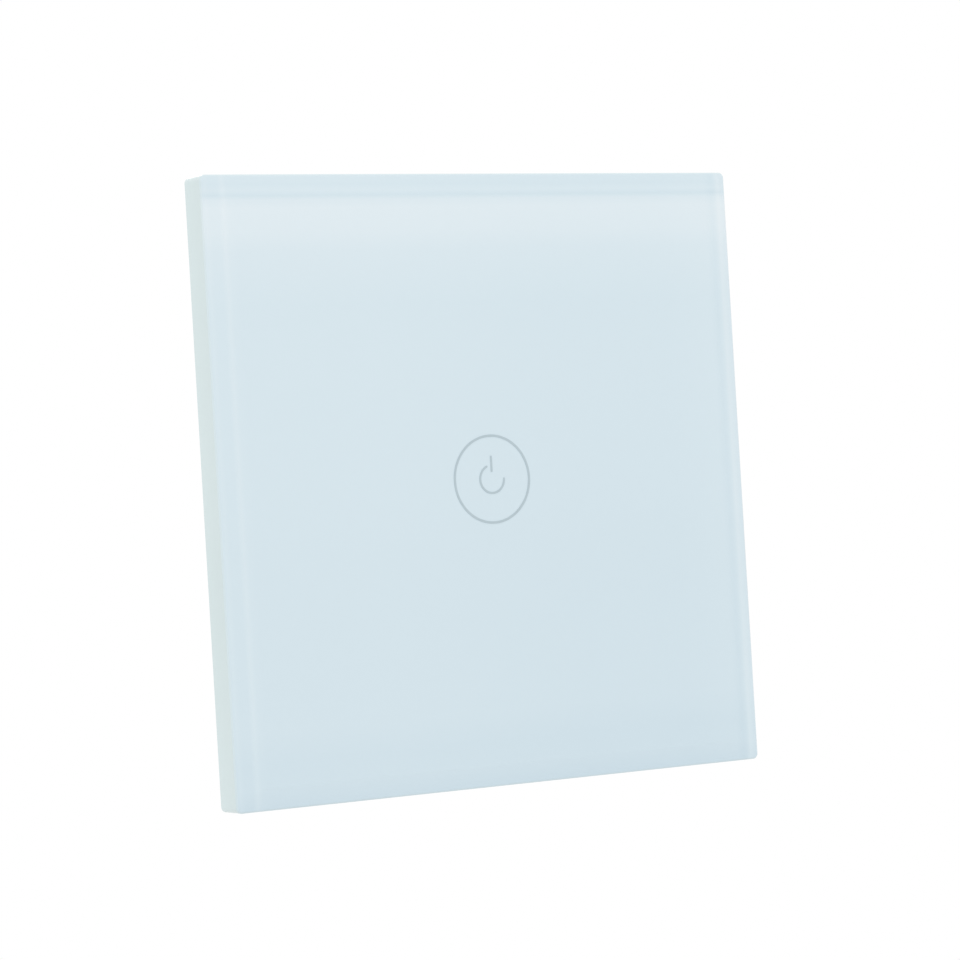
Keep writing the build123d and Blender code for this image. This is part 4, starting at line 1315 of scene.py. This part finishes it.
@dataclass
class Studio:
    """A pale floor that hides nothing from below, a white surround and soft lights."""

    floor_level: float = -0.12
    floor_size: float = 30.0
    white: Color = (1.0, 1.0, 1.0)
    sky: float = 1.0
    ground: float = 0.83
    horizon: tuple[float, float] = (-0.25, 0.35)
    matt: float = 0.8
    lights: tuple[tuple[str, Point, tuple[float, float], float], ...] = (
        ("key", (-0.7, -1.3, 1.3), (1.2, 1.0), 3.8), ("back_fill", (0.9, 1.2, 0.9), (1.2, 1.2), 7.0),
    )

    def surround(self) -> None:
        """Makes the world: white where the camera looks, brighter above than below for light."""
        world = bpy.data.worlds.new("surround")
        bpy.context.scene.world = world
        build = clear_tree(world)
        height = build.axes(build.add("ShaderNodeTexCoord").outputs["Generated"])[2]
        share = build.ramp(height, *self.horizon)
        level = build.math("MULTIPLY_ADD", share, self.sky - self.ground, self.ground)
        light = build.add("ShaderNodeBackground", {"Color": self.white, "Strength": level})
        build.add("ShaderNodeOutputWorld", {"Surface": self.seen(build, light, "ShaderNodeBackground")})

    def seen(self, build: NodeBuilder, lit: Node, kind: str) -> Socket:
        """Shows plain white to the camera and leaves the light a shader of its own.

        Args:
            build: The tree's builder.
            lit: The shader that the light meets.
            kind: Blender's name for the white shader.

        Returns:
            The joined shader's socket.
        """
        white = build.add(kind, {"Color": self.white})
        camera = build.add("ShaderNodeLightPath").outputs["Is Camera Ray"]
        choices = {0: camera, 1: lit.outputs[0], 2: white.outputs[0]}
        return build.add("ShaderNodeMixShader", choices).outputs[0]

    def floor(self) -> None:
        """Lays the floor, matt and pale."""
        mesh = bmesh.new()
        bmesh.ops.create_grid(mesh, x_segments=1, y_segments=1, size=self.floor_size / 2)
        bmesh.ops.translate(mesh, verts=mesh.verts, vec=(0, 0, self.floor_level))
        data = bpy.data.meshes.new("studio_floor")
        mesh.to_mesh(data)
        mesh.free()
        material = bpy.data.materials.new("studio_floor")
        build = clear_tree(material)
        matt = build.add("ShaderNodeBsdfDiffuse", {"Color": (self.matt,) * 3})
        below = build.add("ShaderNodeNewGeometry").outputs["Backfacing"]
        clear = build.add("ShaderNodeBsdfTransparent").outputs[0]
        sides = {0: below, 1: self.seen(build, matt, "ShaderNodeEmission"), 2: clear}
        surface = build.add("ShaderNodeMixShader", sides).outputs[0]
        build.add("ShaderNodeOutputMaterial", {"Surface": surface})
        data.materials.append(material)
        show("studio_floor", data)

    def softbox(self, name: str, place: Point, size: tuple[float, float], power: float) -> None:
        """Hangs an area light that faces the object.

        Args:
            name: The light's name.
            place: Where it hangs, in metres.
            size: Its width and height.
            power: Its power in watts.
        """
        data = bpy.data.lights.new(name, "AREA")
        data.shape = "RECTANGLE"
        data.size, data.size_y = size
        data.energy = power
        light = show(name, data)
        light.location = place
        light.rotation_euler = (-Vector(place)).to_track_quat("-Z", "Y").to_euler()

    def build(self) -> None:
        """Sets the studio up."""
        self.surround()
        self.floor()
        for name, place, size, power in self.lights:
            self.softbox(name, place, size, power)
        view = bpy.context.scene.view_settings
        view.view_transform = "Standard"
        view.look = "None"
        view.exposure = 0.0
        view.gamma = 1.0
        LOG.info("studio ready")


@dataclass
class PhotoCamera:
    """The camera at the photograph's viewing angle."""

    place: Point = (-263.85, -441.13, -3.29)
    heading: float = 31.303
    tilt: float = 0.37
    roll: float = -3.4
    lens: float = 135.0
    sensor: float = 36.0
    nearest: float = 0.01

    def build(self) -> None:
        """Makes the camera and gives it to the scene."""
        data = bpy.data.cameras.new("photo_camera")
        data.lens = self.lens
        data.sensor_width = self.sensor
        data.clip_start = self.nearest
        camera = show("photo_camera", data)
        turn = Matrix.Rotation(math.radians(-self.heading), 4, "Z")
        lift = Matrix.Rotation(math.radians(90 + self.tilt), 4, "X")
        lean = Matrix.Rotation(math.radians(self.roll), 4, "Z")
        camera.matrix_world = Matrix.Translation(Vector(self.place) * MM) @ turn @ lift @ lean
        bpy.context.scene.camera = camera
        LOG.info("camera %.0f mm away", camera.location.length / MM)


def main() -> None:
    """Builds the looks, the studio and the camera, in order."""
    logging.basicConfig(level=logging.INFO, format="%(name)s: %(message)s")
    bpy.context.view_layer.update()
    EFFECTS.update({effect: effect() for effect in (MouldedGrain, Handling, BrushedLines)})
    dresser = Dresser()
    for group in SUB_ASSEMBLIES:
        group(dresser).build()
    Studio().build()
    PhotoCamera().build()


if __name__ == "__main__":
    main()
